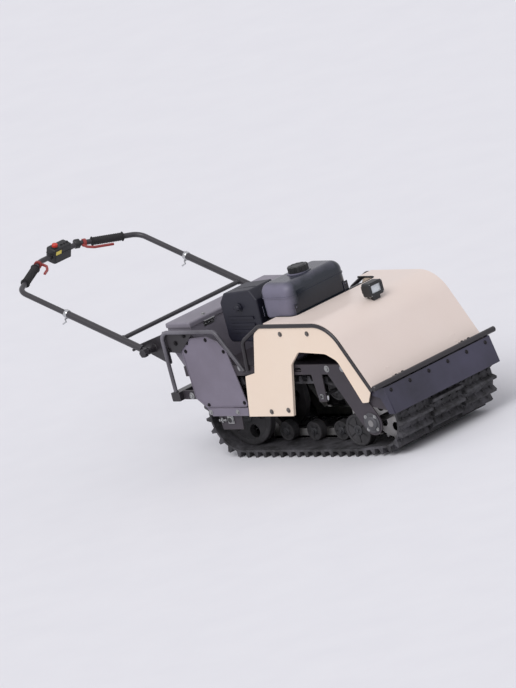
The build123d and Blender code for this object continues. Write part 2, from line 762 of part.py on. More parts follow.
hood_bend = guard_front_bend + hood_lift
with BuildPart() as hood:
    for foot_z, depth, outer, width in (
        (hood_foot_z, hood_t, hood_half, 2 * hood_half),
        (flange_foot_z, hood_flange, flange_y, hood_t),
        (flange_foot_z, hood_flange, -flange_y + hood_t, hood_t),
    ):
        with BuildSketch(across(outer)):
            with BuildLine():
                foot, crest = at(hood_b(foot_z), foot_z), at(hood_b(hood_top), hood_top)
                FilletPolyline(foot, crest, at(hood_tail_b, hood_top), radius=hood_bend)
                offset(amount=depth, side=Side.LEFT)
            make_face()
        extrude(amount=width)
    with BuildSketch(Plane.XY.offset(hood_top - hood_t - 1)):
        with Locations((nose_x - hood_back_b - tank_l, 0)):
            RectangleRounded(2 * tank_l, 2 * tail_inner, notch_r)
    extrude(amount=hood_t + 2, mode=Mode.SUBTRACT)
keep(hood, "hood")

# Hood hinges: a knuckle and pin in the bar's ears, and a strap under the sheet
strap_t, strap_len = 5.0, 70.0
knuckle_r = 9.0
pin_reach = knuckle_w / 2 + 1 + ear_w + 2
with BuildPart() as hood_hinges:
    for y in (-hinge_y, hinge_y):
        with BuildSketch(across(y + knuckle_w / 2)):
            with BuildLine():
                under = hood_t + seat
                low = Vector(*at(hood_b(hood_foot_z) + under * sin(slope), hood_foot_z - under * cos(slope)))
                high = low + Vector(-cos(slope), sin(slope)) * strap_len
                Polyline(at(hinge_b, hinge_z), (low.X, low.Y), (high.X, high.Y))
                offset(amount=strap_t, side=Side.LEFT)
            make_face()
            with Locations(at(hinge_b, hinge_z)):
                Circle(knuckle_r)
        extrude(amount=knuckle_w)
        with BuildSketch(across(y + pin_reach)):
            with Locations(at(hinge_b, hinge_z)):
                Circle(hinge_pin_r)
        extrude(amount=2 * pin_reach)
keep(hood_hinges, "hood_hinges")

# Headlight on a foot that follows the hood's bend
bend_centre_z = hood_top - hood_bend
bend_centre_b = hood_b(hood_top) + hood_bend * tan(slope / 2)
lamp_low = lamp_z - lamp_h / 2
lamp_wall, lens_depth, lens_t = 7.0, 14.0, 10.0
lamp_foot_w, lamp_foot_l, lamp_foot_h = 44.0, 34.0, 28.0
with BuildPart() as headlight:
    with BuildSketch(Plane.YZ.offset(nose_x - lamp_b - lamp_d / 2)):
        with Locations((0, lamp_z)):
            RectangleRounded(lamp_w, lamp_h, 12)
    extrude(amount=lamp_d)
    chamfer(headlight.faces().sort_by(Axis.X)[0].edges(), 8)
    with BuildSketch(Plane.YZ.offset(nose_x - lamp_b + lamp_d / 2)):
        with Locations((0, lamp_z)):
            RectangleRounded(lamp_w - 2 * lamp_wall, lamp_h - 2 * lamp_wall, lamp_wall)
    extrude(amount=-lens_depth, mode=Mode.SUBTRACT)
    with BuildSketch(across(lamp_foot_w / 2)):
        with Locations(at(lamp_b, lamp_low + 1 - lamp_foot_h / 2)):
            Rectangle(lamp_foot_l, lamp_foot_h)
        with Locations(at(bend_centre_b, bend_centre_z)):
            Circle(hood_bend + seat, mode=Mode.SUBTRACT)
    extrude(amount=lamp_foot_w)
keep(headlight, "headlight")

with BuildPart() as headlight_lens:
    with BuildSketch(Plane.YZ.offset(nose_x - lamp_b + lamp_d / 2 - lens_depth + seat)):
        with Locations((0, lamp_z)):
            RectangleRounded(
                lamp_w - 2 * (lamp_wall + seat), lamp_h - 2 * (lamp_wall + seat), lamp_wall,
            )
    extrude(amount=lens_t)
    fillet(headlight_lens.faces().sort_by(Axis.X)[-1].edges(), 3)
keep(headlight_lens, "headlight_lens")

# Handlebar brackets: corner gusset beside the strut, pivot boss and pin, rest stop and knob
pivot = Vector(nose_x - pivot_b, 0, pivot_z)
along = Vector(-cos(rise), 0, sin(rise))
above = Vector(sin(rise), 0, cos(rise))
stop_u, stop_r = 78.0, 6.0
stop = pivot + along * stop_u - above * (sleeve_r + stop_r + seat)
gusset_t = 6.0
gusset_inner = guard_y - guard_r - seat - gusset_t
gusset_corners = ((rear_guard_top - 20, 10), (rear_guard_top - 137, 10))
gusset_front = (
    (strut_b - 196, rear_guard_top), (strut_b, rear_guard_top),
    (strut_b, rear_guard_top - 92), (strut_b - 78, rear_guard_top - 97),
)
handle_inner = handle_y - eye_t / 2
boss_r, knob_r, knob_h = 16.0, 20.0, 22.0
with_boss = (
    (pivot, boss_r, handle_inner - 1), (pivot, pivot_pin_r, handle_y + 20), (stop, stop_r, handle_y + 6),
)
for side, name in sides:
    with BuildPart() as bracket:
        with BuildSketch(sheet(side, gusset_inner, gusset_t)):
            with BuildLine():
                for z, r in gusset_corners:
                    CenterArc(at(strut_b, z), r, 0, 360)
                CenterArc((pivot.X, pivot.Z), knob_r, 0, 360)
                CenterArc((stop.X, stop.Z), stop_r + 5, 0, 360)
            make_hull()
            with BuildLine():
                Polyline(*route(gusset_front), close=True)
            make_face()
        extrude(amount=gusset_t)
        boss_start = gusset_inner + gusset_t - 1
        for centre, r, reach in with_boss:
            with BuildSketch(sheet(side, boss_start, reach - boss_start)):
                with Locations((centre.X, centre.Z)):
                    Circle(r)
            extrude(amount=reach - boss_start)
        with BuildSketch(sheet(side, handle_y + eye_t / 2 + 6, knob_h)):
            with Locations((pivot.X, pivot.Z)):
                RegularPolygon(knob_r, 6)
        extrude(amount=knob_h)
    keep(bracket, f"handle_bracket_{name}")

# Handlebar loop in its own plane, with outer sleeves, eye plates and the cross tube
handle_plane = Plane(origin=pivot, x_dir=along, z_dir=above)
arm_start = 30.0
corners = (
    (arm_start, -handle_y), (handle_arm, -handle_y), (handle_arm + handle_crown, -crown_half),
    (handle_arm + handle_crown, crown_half), (handle_arm, handle_y), (arm_start, handle_y),
)
with BuildPart() as handlebar:
    with BuildLine(handle_plane) as loop:
        FilletPolyline(*corners, radius=handle_bend)
    with BuildSketch(Plane(origin=loop.line @ 0, z_dir=loop.line % 0)):
        Circle(handle_r)
    sweep()
    for side, name in sides:
        sleeve_foot = pivot + along * arm_start + Vector(0, side * handle_y, 0)
        with BuildSketch(Plane(origin=sleeve_foot, z_dir=along)):
            Circle(sleeve_r)
        extrude(amount=sleeve_len - arm_start)
        y_high = side * handle_y + eye_t / 2
        with BuildSketch(Plane(origin=pivot + Vector(0, y_high, 0), x_dir=along, z_dir=(0, -1, 0))):
            with Locations((arm_start, 0)):
                SlotCenterToCenter(2 * arm_start, 2 * handle_r - 4)
            Circle(pivot_pin_r + run_gap, mode=Mode.SUBTRACT)
        extrude(amount=eye_t)
    cross = pivot + along * cross_u
    with BuildSketch(across(handle_y - 3)):
        with Locations((cross.X, cross.Z)):
            Circle(cross_r)
    extrude(amount=2 * handle_y - 6)
keep(handlebar, "handlebar")

# Grips on the slanted runs, and the control pieces near the middle
grip_len, grip_wall = 150.0, 5.0
grip_share, lever_share = 0.52, 0.9
run_u, run_v = handle_crown, handle_y - crown_half
run_dir = Vector(run_u, -run_v).normalized()


def on_run(side, share):
    # point and direction on a slanted run of the loop, share from its outer corner
    u = handle_arm + run_u * share
    v = handle_y - run_v * share
    point = handle_plane.from_local_coords(Vector(u, side * v, 0))
    ahead = handle_plane.from_local_coords(Vector(u + run_dir.X, side * (v + run_dir.Y), 0)) - point
    return point, ahead


with BuildPart() as grips:
    for side, name in sides:
        point, ahead = on_run(side, grip_share)
        with BuildSketch(Plane(origin=point - ahead * (grip_len / 2), z_dir=ahead)):
            Circle(handle_r + grip_wall)
            Circle(handle_r + seat, mode=Mode.SUBTRACT)
        extrude(amount=grip_len)
keep(grips, "grips")

pod_plane = Plane(
    origin=handle_plane.from_local_coords(Vector(handle_arm + handle_crown, 0, 0)),
    x_dir=(0, 1, 0), z_dir=above,
)
up_axis = Axis((0, 0, 0), tuple(above))
with BuildPart() as control_pod:
    with BuildSketch(pod_plane.offset(-pod_drop)):
        RectangleRounded(pod_w, pod_l, 10)
    extrude(amount=pod_h)
    fillet(control_pod.faces().sort_by(up_axis)[-1].edges(), 8)
    with BuildSketch(Plane(origin=pod_plane.origin - Vector(0, pod_w / 2 + 5, 0), z_dir=(0, 1, 0))):
        Circle(handle_r + seat)
    extrude(amount=pod_w + 10, mode=Mode.SUBTRACT)
keep(control_pod, "control_pod")

switch_r, switch_h = 13.0, 14.0
with BuildPart() as kill_switch:
    with BuildSketch(pod_plane.offset(pod_h - pod_drop + seat)):
        with Locations((-pod_w / 4, 0)):
            Circle(switch_r)
    extrude(amount=switch_h)
    chamfer(kill_switch.faces().sort_by(up_axis)[-1].edges(), 2)
keep(kill_switch, "kill_switch")

# Brake lever on the left and throttle lever on the right, each with its clamp ring;
# the loop plane's Y points to the machine's right, so side -1 is its left
ring_wall, ring_w = 6.0, 14.0
blade_t, blade_w, blade_out = 8.0, 10.0, 34.0
for side, name, blade_len in ((-1, "brake_lever", 120.0), (1, "throttle_lever", 70.0)):
    point, ahead = on_run(side, lever_share)
    reach_dir = above.cross(ahead).normalized()
    if reach_dir.dot(along) > 0:
        reach_dir = -reach_dir
    with BuildPart() as lever:
        with BuildSketch(Plane(origin=point - ahead * 8, z_dir=ahead)):
            Circle(handle_r + ring_wall)
            Circle(handle_r + seat, mode=Mode.SUBTRACT)
        extrude(amount=ring_w)
        root = point + reach_dir * (handle_r + 2)
        blade_plane = Plane(origin=root, x_dir=-ahead, z_dir=reach_dir.cross(ahead))
        with BuildSketch(blade_plane.offset(-blade_t / 2)):
            with BuildLine():
                FilletPolyline((-6, 0), (4, 22), (30, blade_out), (blade_len, blade_out), radius=8)
                offset(amount=blade_w, side=Side.LEFT)
            make_face()
        extrude(amount=blade_t)
    keep(lever, name)
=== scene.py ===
import bisect
import math

import bmesh
import bpy
from mathutils import Matrix, Vector
from mathutils.geometry import convex_hull_2d


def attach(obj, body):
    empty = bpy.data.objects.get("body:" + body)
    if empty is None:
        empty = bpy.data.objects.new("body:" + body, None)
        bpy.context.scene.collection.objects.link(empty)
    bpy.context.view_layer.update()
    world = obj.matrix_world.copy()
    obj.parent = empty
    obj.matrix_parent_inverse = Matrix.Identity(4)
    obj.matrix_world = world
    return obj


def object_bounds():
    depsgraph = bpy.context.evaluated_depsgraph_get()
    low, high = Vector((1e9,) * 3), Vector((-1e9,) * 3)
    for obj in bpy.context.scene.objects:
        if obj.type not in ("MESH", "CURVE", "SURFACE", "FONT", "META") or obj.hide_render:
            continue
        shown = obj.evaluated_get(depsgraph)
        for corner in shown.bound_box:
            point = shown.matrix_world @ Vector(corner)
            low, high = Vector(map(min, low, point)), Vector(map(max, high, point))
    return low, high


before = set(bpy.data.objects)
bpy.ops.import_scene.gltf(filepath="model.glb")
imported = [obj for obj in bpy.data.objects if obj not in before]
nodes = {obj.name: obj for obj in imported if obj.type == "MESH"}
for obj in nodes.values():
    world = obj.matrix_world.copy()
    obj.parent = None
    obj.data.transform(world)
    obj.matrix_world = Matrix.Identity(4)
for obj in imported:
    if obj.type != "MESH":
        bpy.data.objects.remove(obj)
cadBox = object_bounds()
print("frame loaded:", len(nodes), "nodes")


def addObject(name, data):
    thing = bpy.data.objects.new(name, data)
    bpy.context.scene.collection.objects.link(thing)
    return thing


# camera

cameraView = {
    "azimuth": 47.9,  # degrees round from a side view, towards the front
    "elevation": 13.0,
    "roll": 14.9,  # the machine leans to the left of the picture
    "distance": 70.0,  # metres: a long lens, as the photograph has almost no perspective
    "fill": 0.93,  # share of the picture's width that the machine takes
    "sensor": 36.0,
    "clipEnd": 200.0,
}


def cameraAxes(view):
    az, el, roll = (math.radians(view[k]) for k in ("azimuth", "elevation", "roll"))
    back = Vector((math.sin(az) * math.cos(el), -math.cos(az) * math.cos(el), math.sin(el)))
    level = Vector((math.cos(az), math.sin(az), 0))
    upright = back.cross(level)
    up = upright * math.cos(roll) + level * math.sin(roll)
    return up.cross(back), up, back


def makeCamera(view):
    right, up, back = cameraAxes(view)
    points = [v.co for o in nodes.values() for v in o.data.vertices]
    across = [p.dot(right) for p in points]
    upward = [p.dot(up) for p in points]
    middle = right * (min(across) + max(across)) / 2 + up * (min(upward) + max(upward)) / 2
    width = (max(across) - min(across)) / view["fill"]
    data = bpy.data.cameras.new("camera")
    data.sensor_fit = "HORIZONTAL"
    data.sensor_width = view["sensor"]
    data.lens = view["sensor"] * view["distance"] / width
    data.clip_end = view["clipEnd"]
    camera = addObject("camera", data)
    turn = Matrix((right, up, back)).transposed().to_4x4()
    camera.matrix_world = Matrix.Translation(middle + back * view["distance"]) @ turn
    bpy.context.scene.camera = camera


makeCamera(cameraView)
print("camera set")


# colours, nodes and patterns

patternMm = {  # the real size of each pattern's marks
    "dustPatch": 312.5,
    "orangePeel": 4.4,  # the real 2.2 is too fine for this view, so it is drawn twice as coarse
    "paintChip": 5.882,  # chips of about 2, drawn coarser
    # the breakup of the tank's painted reflection
    "sheenBreakup": 45.45,
    "rubberFrost": 71.43,
    "mouldGrain": 3.0,  # the real 1 drawn three times as coarse
    "castTone": 41.67,
    "sandGrain": 2.0,  # grit of 0.5 drawn four times as coarse
    "platedGrain": 1.5,  # the same for plated and polished steel
    "plasticTone": 111.1,
    "sparkGrain": 1.2,  # the real 0.2 drawn six times as coarse
    "lensRib": 5.236,
    "plasterSpeck": 250.0,
}


def linear(hexColour):
    parts = [int(hexColour[i:i + 2], 16) / 255 for i in (1, 3, 5)]
    return tuple(c / 12.92 if c <= 0.04045 else ((c + 0.055) / 1.055) ** 2.4 for c in parts) + (1.0,)


def addNode(tree, kind, links=None, **settings):
    node = tree.nodes.new(kind)
    for key, value in settings.items():
        setattr(node, key, value)
    for socket, source in (links or {}).items():
        if isinstance(source, bpy.types.NodeSocket):
            tree.links.new(source, node.inputs[socket])
        else:
            node.inputs[socket].default_value = source
    return node


def perMetre(pattern):
    # a texture's scale: object coordinates are in metres
    return 1000 / patternMm[pattern]


def startMaterial(name):
    material = bpy.data.materials.new(name)
    material.use_nodes = True
    tree = material.node_tree
    shader = tree.nodes["Principled BSDF"]
    place = addNode(tree, "ShaderNodeTexCoord").outputs["Object"]
    return material, tree, shader, place


def addPatches(tree, shader, place, pattern, colours, detail, spread=0.5, window=None):
    # one colour passes into another in patches: window is the noise at which the second starts, the noise
    # at which it is full, and its most
    noise = addNode(tree, "ShaderNodeTexNoise", {
        "Vector": place, "Scale": perMetre(pattern), "Detail": detail, "Roughness": spread,
    })
    share = noise.outputs["Fac"]
    if window:
        share = addNode(tree, "ShaderNodeMapRange", {
            "Value": share, "From Min": window[0], "From Max": window[1], "To Max": window[2],
        }).outputs["Result"]
    tint = addNode(tree, "ShaderNodeMix", {
        "Factor": share, "A": linear(colours[0]), "B": linear(colours[1]),
    }, data_type="RGBA")
    tree.links.new(tint.outputs["Result"], shader.inputs["Base Color"])
    return noise.outputs["Fac"], tint.outputs["Result"]


def addRelief(tree, shader, place, pattern, detail, strength, deep):
    # a fine grain, deep in millimetres, that breaks up the highlight
    grain = addNode(tree, "ShaderNodeTexNoise", {
        "Vector": place, "Scale": perMetre(pattern), "Detail": detail,
    })
    bump = addNode(tree, "ShaderNodeBump", {
        "Height": grain.outputs["Fac"], "Strength": strength, "Distance": deep / 1000,
    })
    tree.links.new(bump.outputs["Normal"], shader.inputs["Normal"])


def coatedSheet(name, colour, dusty, roughness=0.42, mottle=0.06, wear=0.0, bare="#6b6660"):
    # powder coat or enamel sprayed on steel: even colour, a faint orange peel and paler, duller dust in
    # patches; wear rubs the coat through to the bare steel along the edges
    material, tree, shader, place = startMaterial(name)
    window = (0.35, 0.75, mottle * 5)
    patches, tint = addPatches(tree, shader, place, "dustPatch", (colour, dusty), 6.0, 0.62, window)
    if wear:
        rub = addNode(tree, "ShaderNodeBevel", {"Radius": 0.004}, samples=6)
        here = addNode(tree, "ShaderNodeNewGeometry")
        edge = addNode(tree, "ShaderNodeVectorMath", {
            0: rub.outputs["Normal"], 1: here.outputs["Normal"],
        }, operation="DOT_PRODUCT")
        chips = addNode(tree, "ShaderNodeTexNoise", {
            "Vector": place, "Scale": perMetre("paintChip"), "Detail": 3.0,
        })
        bareEdge = addNode(tree, "ShaderNodeMath", {
            0: chips.outputs["Fac"], 1: -0.3, 2: edge.outputs["Value"],
        }, operation="MULTIPLY_ADD")
        worn = addNode(tree, "ShaderNodeMapRange", {
            "Value": bareEdge.outputs["Value"], "From Min": 0.79, "From Max": 0.66, "To Max": wear,
        })
        steel = addNode(tree, "ShaderNodeMix", {
            "Factor": worn.outputs["Result"], "A": tint, "B": linear(bare),
        }, data_type="RGBA")
        tree.links.new(steel.outputs["Result"], shader.inputs["Base Color"])
    rough = addNode(tree, "ShaderNodeMapRange", {
        "Value": patches, "From Min": 0.3, "From Max": 0.8,
        "To Min": roughness - 0.06, "To Max": roughness + 0.12,
    })
    tree.links.new(rough.outputs["Result"], shader.inputs["Roughness"])
    addRelief(tree, shader, place, "orangePeel", 2.0, 0.06, 1.0)
    return material


def sheenPaintedEnamel(name, colour, sheenColour):
    # stoved gloss enamel on a pressed tank: dark and mirror-like on its front, with a pale painted reflection
    # on the faces turned towards the sun, strongest on its near end and weaker on its top, which are also
    # duller
    material, tree, shader, place = startMaterial(name)
    here = addNode(tree, "ShaderNodeNewGeometry")
    # how far a face turns towards the lit near side: there the pale reflection is painted
    sheenFacing = addNode(tree, "ShaderNodeVectorMath", {
        0: here.outputs["Normal"], 1: (0.1, -0.92, 0.38),
    }, operation="DOT_PRODUCT")
    sheenNoise = addNode(tree, "ShaderNodeTexNoise", {
        "Vector": place, "Scale": perMetre("sheenBreakup"), "Detail": 7.0, "Roughness": 0.65,
    })
    edge = addNode(tree, "ShaderNodeMath", {
        0: sheenNoise.outputs["Fac"], 1: 0.35, 2: sheenFacing.outputs["Value"],
    }, operation="MULTIPLY_ADD")
    # cover is the share of the painted reflection, broken up by the noise
    cover = addNode(tree, "ShaderNodeMapRange", {
        "Value": edge.outputs["Value"], "From Min": 0.42, "From Max": 1.1, "To Max": 0.8,
    })
    tint = addNode(tree, "ShaderNodeMix", {
        "Factor": cover.outputs["Result"], "A": linear(colour), "B": linear(sheenColour),
    }, data_type="RGBA")
    tree.links.new(tint.outputs["Result"], shader.inputs["Base Color"])
    dull = addNode(tree, "ShaderNodeMapRange", {
        "Value": cover.outputs["Result"], "From Max": 0.8, "To Min": 0.2, "To Max": 0.5,
    })
    tree.links.new(dull.outputs["Result"], shader.inputs["Roughness"])
    return material


def mouldedRubber(name, colour, dusty):
    # vulcanised rubber from a mould: near black, dull, pale with rubbed-in frost on its faces
    material, tree, shader, place = startMaterial(name)
    addPatches(tree, shader, place, "rubberFrost", (colour, dusty), 8.0, 0.7, (0.42, 0.72, 0.5))
    shader.inputs["Roughness"].default_value = 0.72
    addRelief(tree, shader, place, "mouldGrain", 4.0, 0.25, 1.0)
    return material


def castMetal(name, colour, dark, roughness=0.5, grain="sandGrain"):
    # sand-cast, drawn or plated metal: a fine grain that breaks the highlight, and a slow drift of tone
    material, tree, shader, place = startMaterial(name)
    addPatches(tree, shader, place, "castTone", (dark, colour), 5.0)
    shader.inputs["Metallic"].default_value = 1.0
    shader.inputs["Roughness"].default_value = roughness
    addRelief(tree, shader, place, grain, 3.0, 0.2, 0.6)
    return material


def mouldedPlastic(name, colour, pale, roughness=0.45):
    # injection-moulded ABS: one colour, a fine spark-eroded grain and a soft highlight
    material, tree, shader, place = startMaterial(name)
    addPatches(tree, shader, place, "plasticTone", (colour, pale), 6.0, window=(0.4, 0.8, 0.35))
    shader.inputs["Roughness"].default_value = roughness
    addRelief(tree, shader, place, "sparkGrain", 2.0, 0.12, 0.5)
    return material


def lampLens(name):
    # pressed polycarbonate over a bright reflector: pale, glossy, with upright ribs that spread the light
    material, tree, shader, place = startMaterial(name)
    ribs = addNode(tree, "ShaderNodeTexWave", {  # this node draws a band every pi / 10 of its own units
        "Vector": place, "Scale": math.pi / 10 * perMetre("lensRib"), "Distortion": 0.0,
    }, bands_direction="Y")
    tint = addNode(tree, "ShaderNodeMix", {
        "Factor": ribs.outputs["Fac"], "A": linear("#c9ced4"), "B": linear("#eef2f5"),
    }, data_type="RGBA")
    tree.links.new(tint.outputs["Result"], shader.inputs["Base Color"])
    shader.inputs["Roughness"].default_value = 0.12
    bump = addNode(tree, "ShaderNodeBump", {
        "Height": ribs.outputs["Fac"], "Strength": 0.4, "Distance": 0.001,
    })
    tree.links.new(bump.outputs["Normal"], shader.inputs["Normal"])
    return material


finishes = {material.name: material for material in (
    coatedSheet("sandHoodEnamel", "#e2d2c9", "#ebdfd8", roughness=0.4),
    coatedSheet("sandFenderEnamel", "#e9d5c2", "#efe2d3", roughness=0.46),
    coatedSheet("blackTubeCoat", "#232024", "#403c40", roughness=0.32, wear=0.35, bare="#77737a"),
    coatedSheet("frostedTubeCoat", "#343136", "#87848d", roughness=0.4, mottle=0.16, wear=0.3),
    coatedSheet("handleTubeCoat", "#302e32", "#524e53", roughness=0.34, wear=0.3, bare="#77737a"),
    coatedSheet("bumperEnamel", "#272534", "#47445a", roughness=0.34, mottle=0.14),
    coatedSheet("greyPanelCoat", "#6b6471", "#878090", roughness=0.45, mottle=0.12, wear=0.4),
    coatedSheet("lightGreyCoat", "#6e6973", "#97929d", roughness=0.5, mottle=0.14, wear=0.4),
    coatedSheet("chassisPrimer", "#2f2a30", "#4d464e", roughness=0.55, mottle=0.1, wear=0.35),
    mouldedRubber("trackRubber", "#232224", "#77757c"),
    mouldedRubber("wheelRubber", "#262527", "#4c4a4d"),
    mouldedRubber("gripRubber", "#19181a", "#2f2d2f"),
    castMetal("turnedSteel", "#a8a7a6", "#7c7a79", roughness=0.35),
    castMetal("railAlloy", "#b4b3b1", "#8d8b89", roughness=0.42),
    castMetal("castAlloy", "#77777a", "#4c4b4e", roughness=0.55),
    castMetal("heatedSteel", "#5b5550", "#33302f"),
    castMetal("zincPlate", "#b9babb", "#8c8c8b", roughness=0.38, grain="platedGrain"),
    castMetal("dullZinc", "#8b8784", "#625e5c", grain="platedGrain"),
    castMetal("blackOxide", "#3b393b", "#232224", roughness=0.42, grain="platedGrain"),
    castMetal("polishedClamp", "#d4d5d6", "#adaeb0", roughness=0.25, grain="platedGrain"),
    castMetal("brushedShield", "#8f8a84", "#5f5955", roughness=0.36, grain="platedGrain"),
    # the tank's second colour is a painted reflection on the faces towards the sun
    sheenPaintedEnamel("tankEnamel", "#1b212b", "#787487"),
    mouldedPlastic("blackAbs", "#1a1a1c", "#323234"),
    mouldedPlastic("navyAbs", "#171724", "#282838", roughness=0.5),
    mouldedPlastic("redAbs", "#c3301f", "#d9583f", roughness=0.35),
    mouldedPlastic("redLever", "#8d2f2c", "#a9544e", roughness=0.4),
    mouldedPlastic("discNylon", "#2a2a2d", "#45454a", roughness=0.5),
    mouldedPlastic("slipPolymer", "#3a3a3c", "#5b5b5d", roughness=0.4),
    mouldedPlastic("yellowVinyl", "#e2cf5c", "#f0e492", roughness=0.3),
    lampLens("lampLens"),
)}

finishNodes = {
    "sandHoodEnamel": ["hood"],
    "sandFenderEnamel": ["fender_right", "fender_left"],
    "blackTubeCoat": [
        "front_guard_right", "front_guard_left", "tow_bar", "bumper_bar",
        "handle_bracket_right", "handle_bracket_left",
    ],
    "frostedTubeCoat": ["rear_guard_right", "rear_guard_left"],
    "handleTubeCoat": ["handlebar"],
    "bumperEnamel": ["bumper_panel"],
    "greyPanelCoat": ["rear_panel_right", "rear_panel_left"],
    "lightGreyCoat": ["rear_box"],
    "chassisPrimer": ["chassis", "front_arm_right", "front_arm_left", "chain_case"],
    "trackRubber": ["track"],
    "wheelRubber": ["rear_idler", "nose_rollers", "carrier_rollers", "bogie_wheels"],
    "gripRubber": ["grips"],
    "turnedSteel": ["drive_axle", "hood_hinges"],
    "railAlloy": ["slide_rails"],
    "castAlloy": ["engine_block", "cylinder_head", "carburettor"],
    "heatedSteel": ["muffler"],
    "tankEnamel": ["fuel_tank", "recoil_starter"],
    "blackAbs": ["tank_cap", "headlight", "control_pod", "belt_guard"],
    "navyAbs": ["air_cleaner"],
    "redAbs": ["kill_switch"],
    "redLever": ["brake_lever", "throttle_lever"],
    "lampLens": ["headlight_lens"],
}
for finishName, dressed in finishNodes.items():
    for nodeName in dressed:
        materials = nodes[nodeName].data.materials
        materials.clear()
        materials.append(finishes[finishName])
print("materials given to", sum(map(len, finishNodes.values())), "nodes")


# shared ways of making shapes

bumperX = cadBox[1][0]  # the bumper's foot: places along the machine are millimetres back from it
leftWay, upWay, frontWay = Vector((0, 1, 0)), Vector((0, 0, 1)), Vector((1, 0, 0))
bothSides = (-1, 1)
cornerSigns = ((-1, -1), (1, -1), (1, 1), (-1, 1))


def spot(back, left, up):
    return Vector((bumperX - back / 1000, left / 1000, up / 1000))


def squareTo(way):
    side = way.cross(upWay if abs(way.z) < 0.9 else frontWay).normalized()
    return side, way.cross(side)


def leaned(degrees):
    # the way along a line that rises towards the back, and the way square to it
    t = math.radians(degrees)
    return Vector((-math.cos(t), 0, math.sin(t))), Vector((math.sin(t), 0, math.cos(t)))


def onCircle(centre, radius, degrees):
    # a place on a circle seen from the side, as back and up
    t = math.radians(degrees)
    return Vector(centre) + Vector((math.cos(t), math.sin(t))) * radius


def ring(centre, side, other, radius, count):
    turns = [2 * math.pi * i / count for i in range(count)]
    return [centre + (side * math.cos(t) + other * math.sin(t)) * radius / 1000 for t in turns]


def skin(shape, rings, closed):
    # faces from ring to ring: closed joins the last to the first, and otherwise both ends are capped
    rows = [[shape.verts.new(point) for point in points] for points in rings]
    made = [] if closed else [shape.faces.new(rows[0][::-1]), shape.faces.new(rows[-1])]
    for low, high in zip(rows, rows[1:] + rows[:1] if closed else rows[1:]):
        for i in range(len(low)):
            j = (i + 1) % len(low)
            made.append(shape.faces.new((low[i], low[j], high[j], high[i])))
    return made


def lathe(shape, foot, way, profile, around=20, closed=False):
    # a turned shape from (radius, height) in millimetres about a way
    way = way.normalized()
    rings = [ring(foot + way * height / 1000, *squareTo(way), radius, around) for radius, height in profile]
    skin(shape, rings, closed)


def bead(shape, points, radius, around=8, closed=False, ripple=0.0):
    # a round rod or a weld along points, its radius in millimetres; ripple gives a weld its waves
    count = len(points)
    rings = []
    side = None
    for i, point in enumerate(points):
        before = points[i - 1] if i or closed else point
        after = points[(i + 1) % count] if i < count - 1 or closed else point
        way = (after - before).normalized()
        side = squareTo(way)[0] if side is None else (side - way * side.dot(way)).normalized()
        wave = 1 + ripple * (1 if i % 2 else -1)
        rings.append(ring(point, side, way.cross(side), radius * wave, around))
    skin(shape, rings, closed)


def plate(shape, corners, thick, edge=0.6):
    # a flat plate that stands on its corners' plane, thick in millimetres, its edges eased
    normal = (corners[1] - corners[0]).cross(corners[2] - corners[1]).normalized()
    made = skin(shape, [corners, [c + normal * thick / 1000 for c in corners]], closed=False)
    edges = list({e for f in made for e in f.edges})
    bmesh.ops.bevel(shape, geom=edges, offset=edge / 1000, segments=2, affect="EDGES", clamp_overlap=True)


def pad(shape, middle, out, rise, size, edge=0.6):
    # a rectangular plate of a width, height and thickness that stands out from its middle
    wide, high, thick = size
    across = rise.cross(out)
    plate(shape, [middle + (across * i * wide + rise * j * high) / 2000 for i, j in cornerSigns], thick, edge)


def rounded(points, radii, steps=6):
    # a closed outline with an arc at each corner, in the two numbers of its own plane
    out = []
    count = len(points)
    for i, point in enumerate(points):
        here = Vector(point)
        back = (Vector(points[i - 1]) - here).normalized()
        ahead = (Vector(points[(i + 1) % count]) - here).normalized()
        radius = radii[i] if isinstance(radii, list) else radii
        if not radius:
            out.append(here)
            continue
        half = back.angle(ahead) / 2
        centre = here + (back + ahead).normalized() * radius / math.sin(half)
        start = here + back * radius / math.tan(half) - centre
        turn = (math.pi - 2 * half) * (-1 if back.cross(ahead) > 0 else 1)
        out += [centre + Matrix.Rotation(turn * k / steps, 2) @ start for k in range(steps + 1)]
    return out


def roundedRect(wide, high, corner, steps=5):
    return rounded([(i * wide / 2, j * high / 2) for i, j in cornerSigns], corner, steps)


def newPiece(name, body, finish, shape, crease=38):
    bmesh.ops.recalc_face_normals(shape, faces=shape.faces)
    mesh = bpy.data.meshes.new(name)
    shape.to_mesh(mesh)
    shape.free()
    mesh.shade_smooth()
    mesh.set_sharp_from_angle(angle=math.radians(crease))
    mesh.materials.append(finishes[finish])
    piece = addObject(name, mesh)
    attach(piece, body)


# bolts on the outer faces

headSizes = {6: (10, 4.0), 8: (13, 5.3), 10: (17, 6.4)}  # thread: across flats, height
washerThick = 1.6


def bolt(shape, foot, way, size):
    # hexagon head with an eased top on a round washer
    flats, high = headSizes[size]
    corner = flats / math.sqrt(3)
    lathe(shape, foot, way, [
        (flats * 0.86, 0), (flats * 0.9, 0.4), (flats * 0.9, washerThick - 0.3), (flats * 0.86, washerThick),
    ])
    lathe(shape, foot, way, [
        (corner, washerThick), (corner, washerThick + high * 0.82), (flats / 2 * 0.94, washerThick + high),
    ], around=6)


def rivet(shape, foot, way, radius, proud=0.55):
    # a domed head, as high as its radius times proud
    steps = [0.0, 0.35, 0.62, 0.85, 0.97]
    lathe(shape, foot, way, [(radius * math.sqrt(1 - s * s), radius * proud * s) for s in steps], around=16)


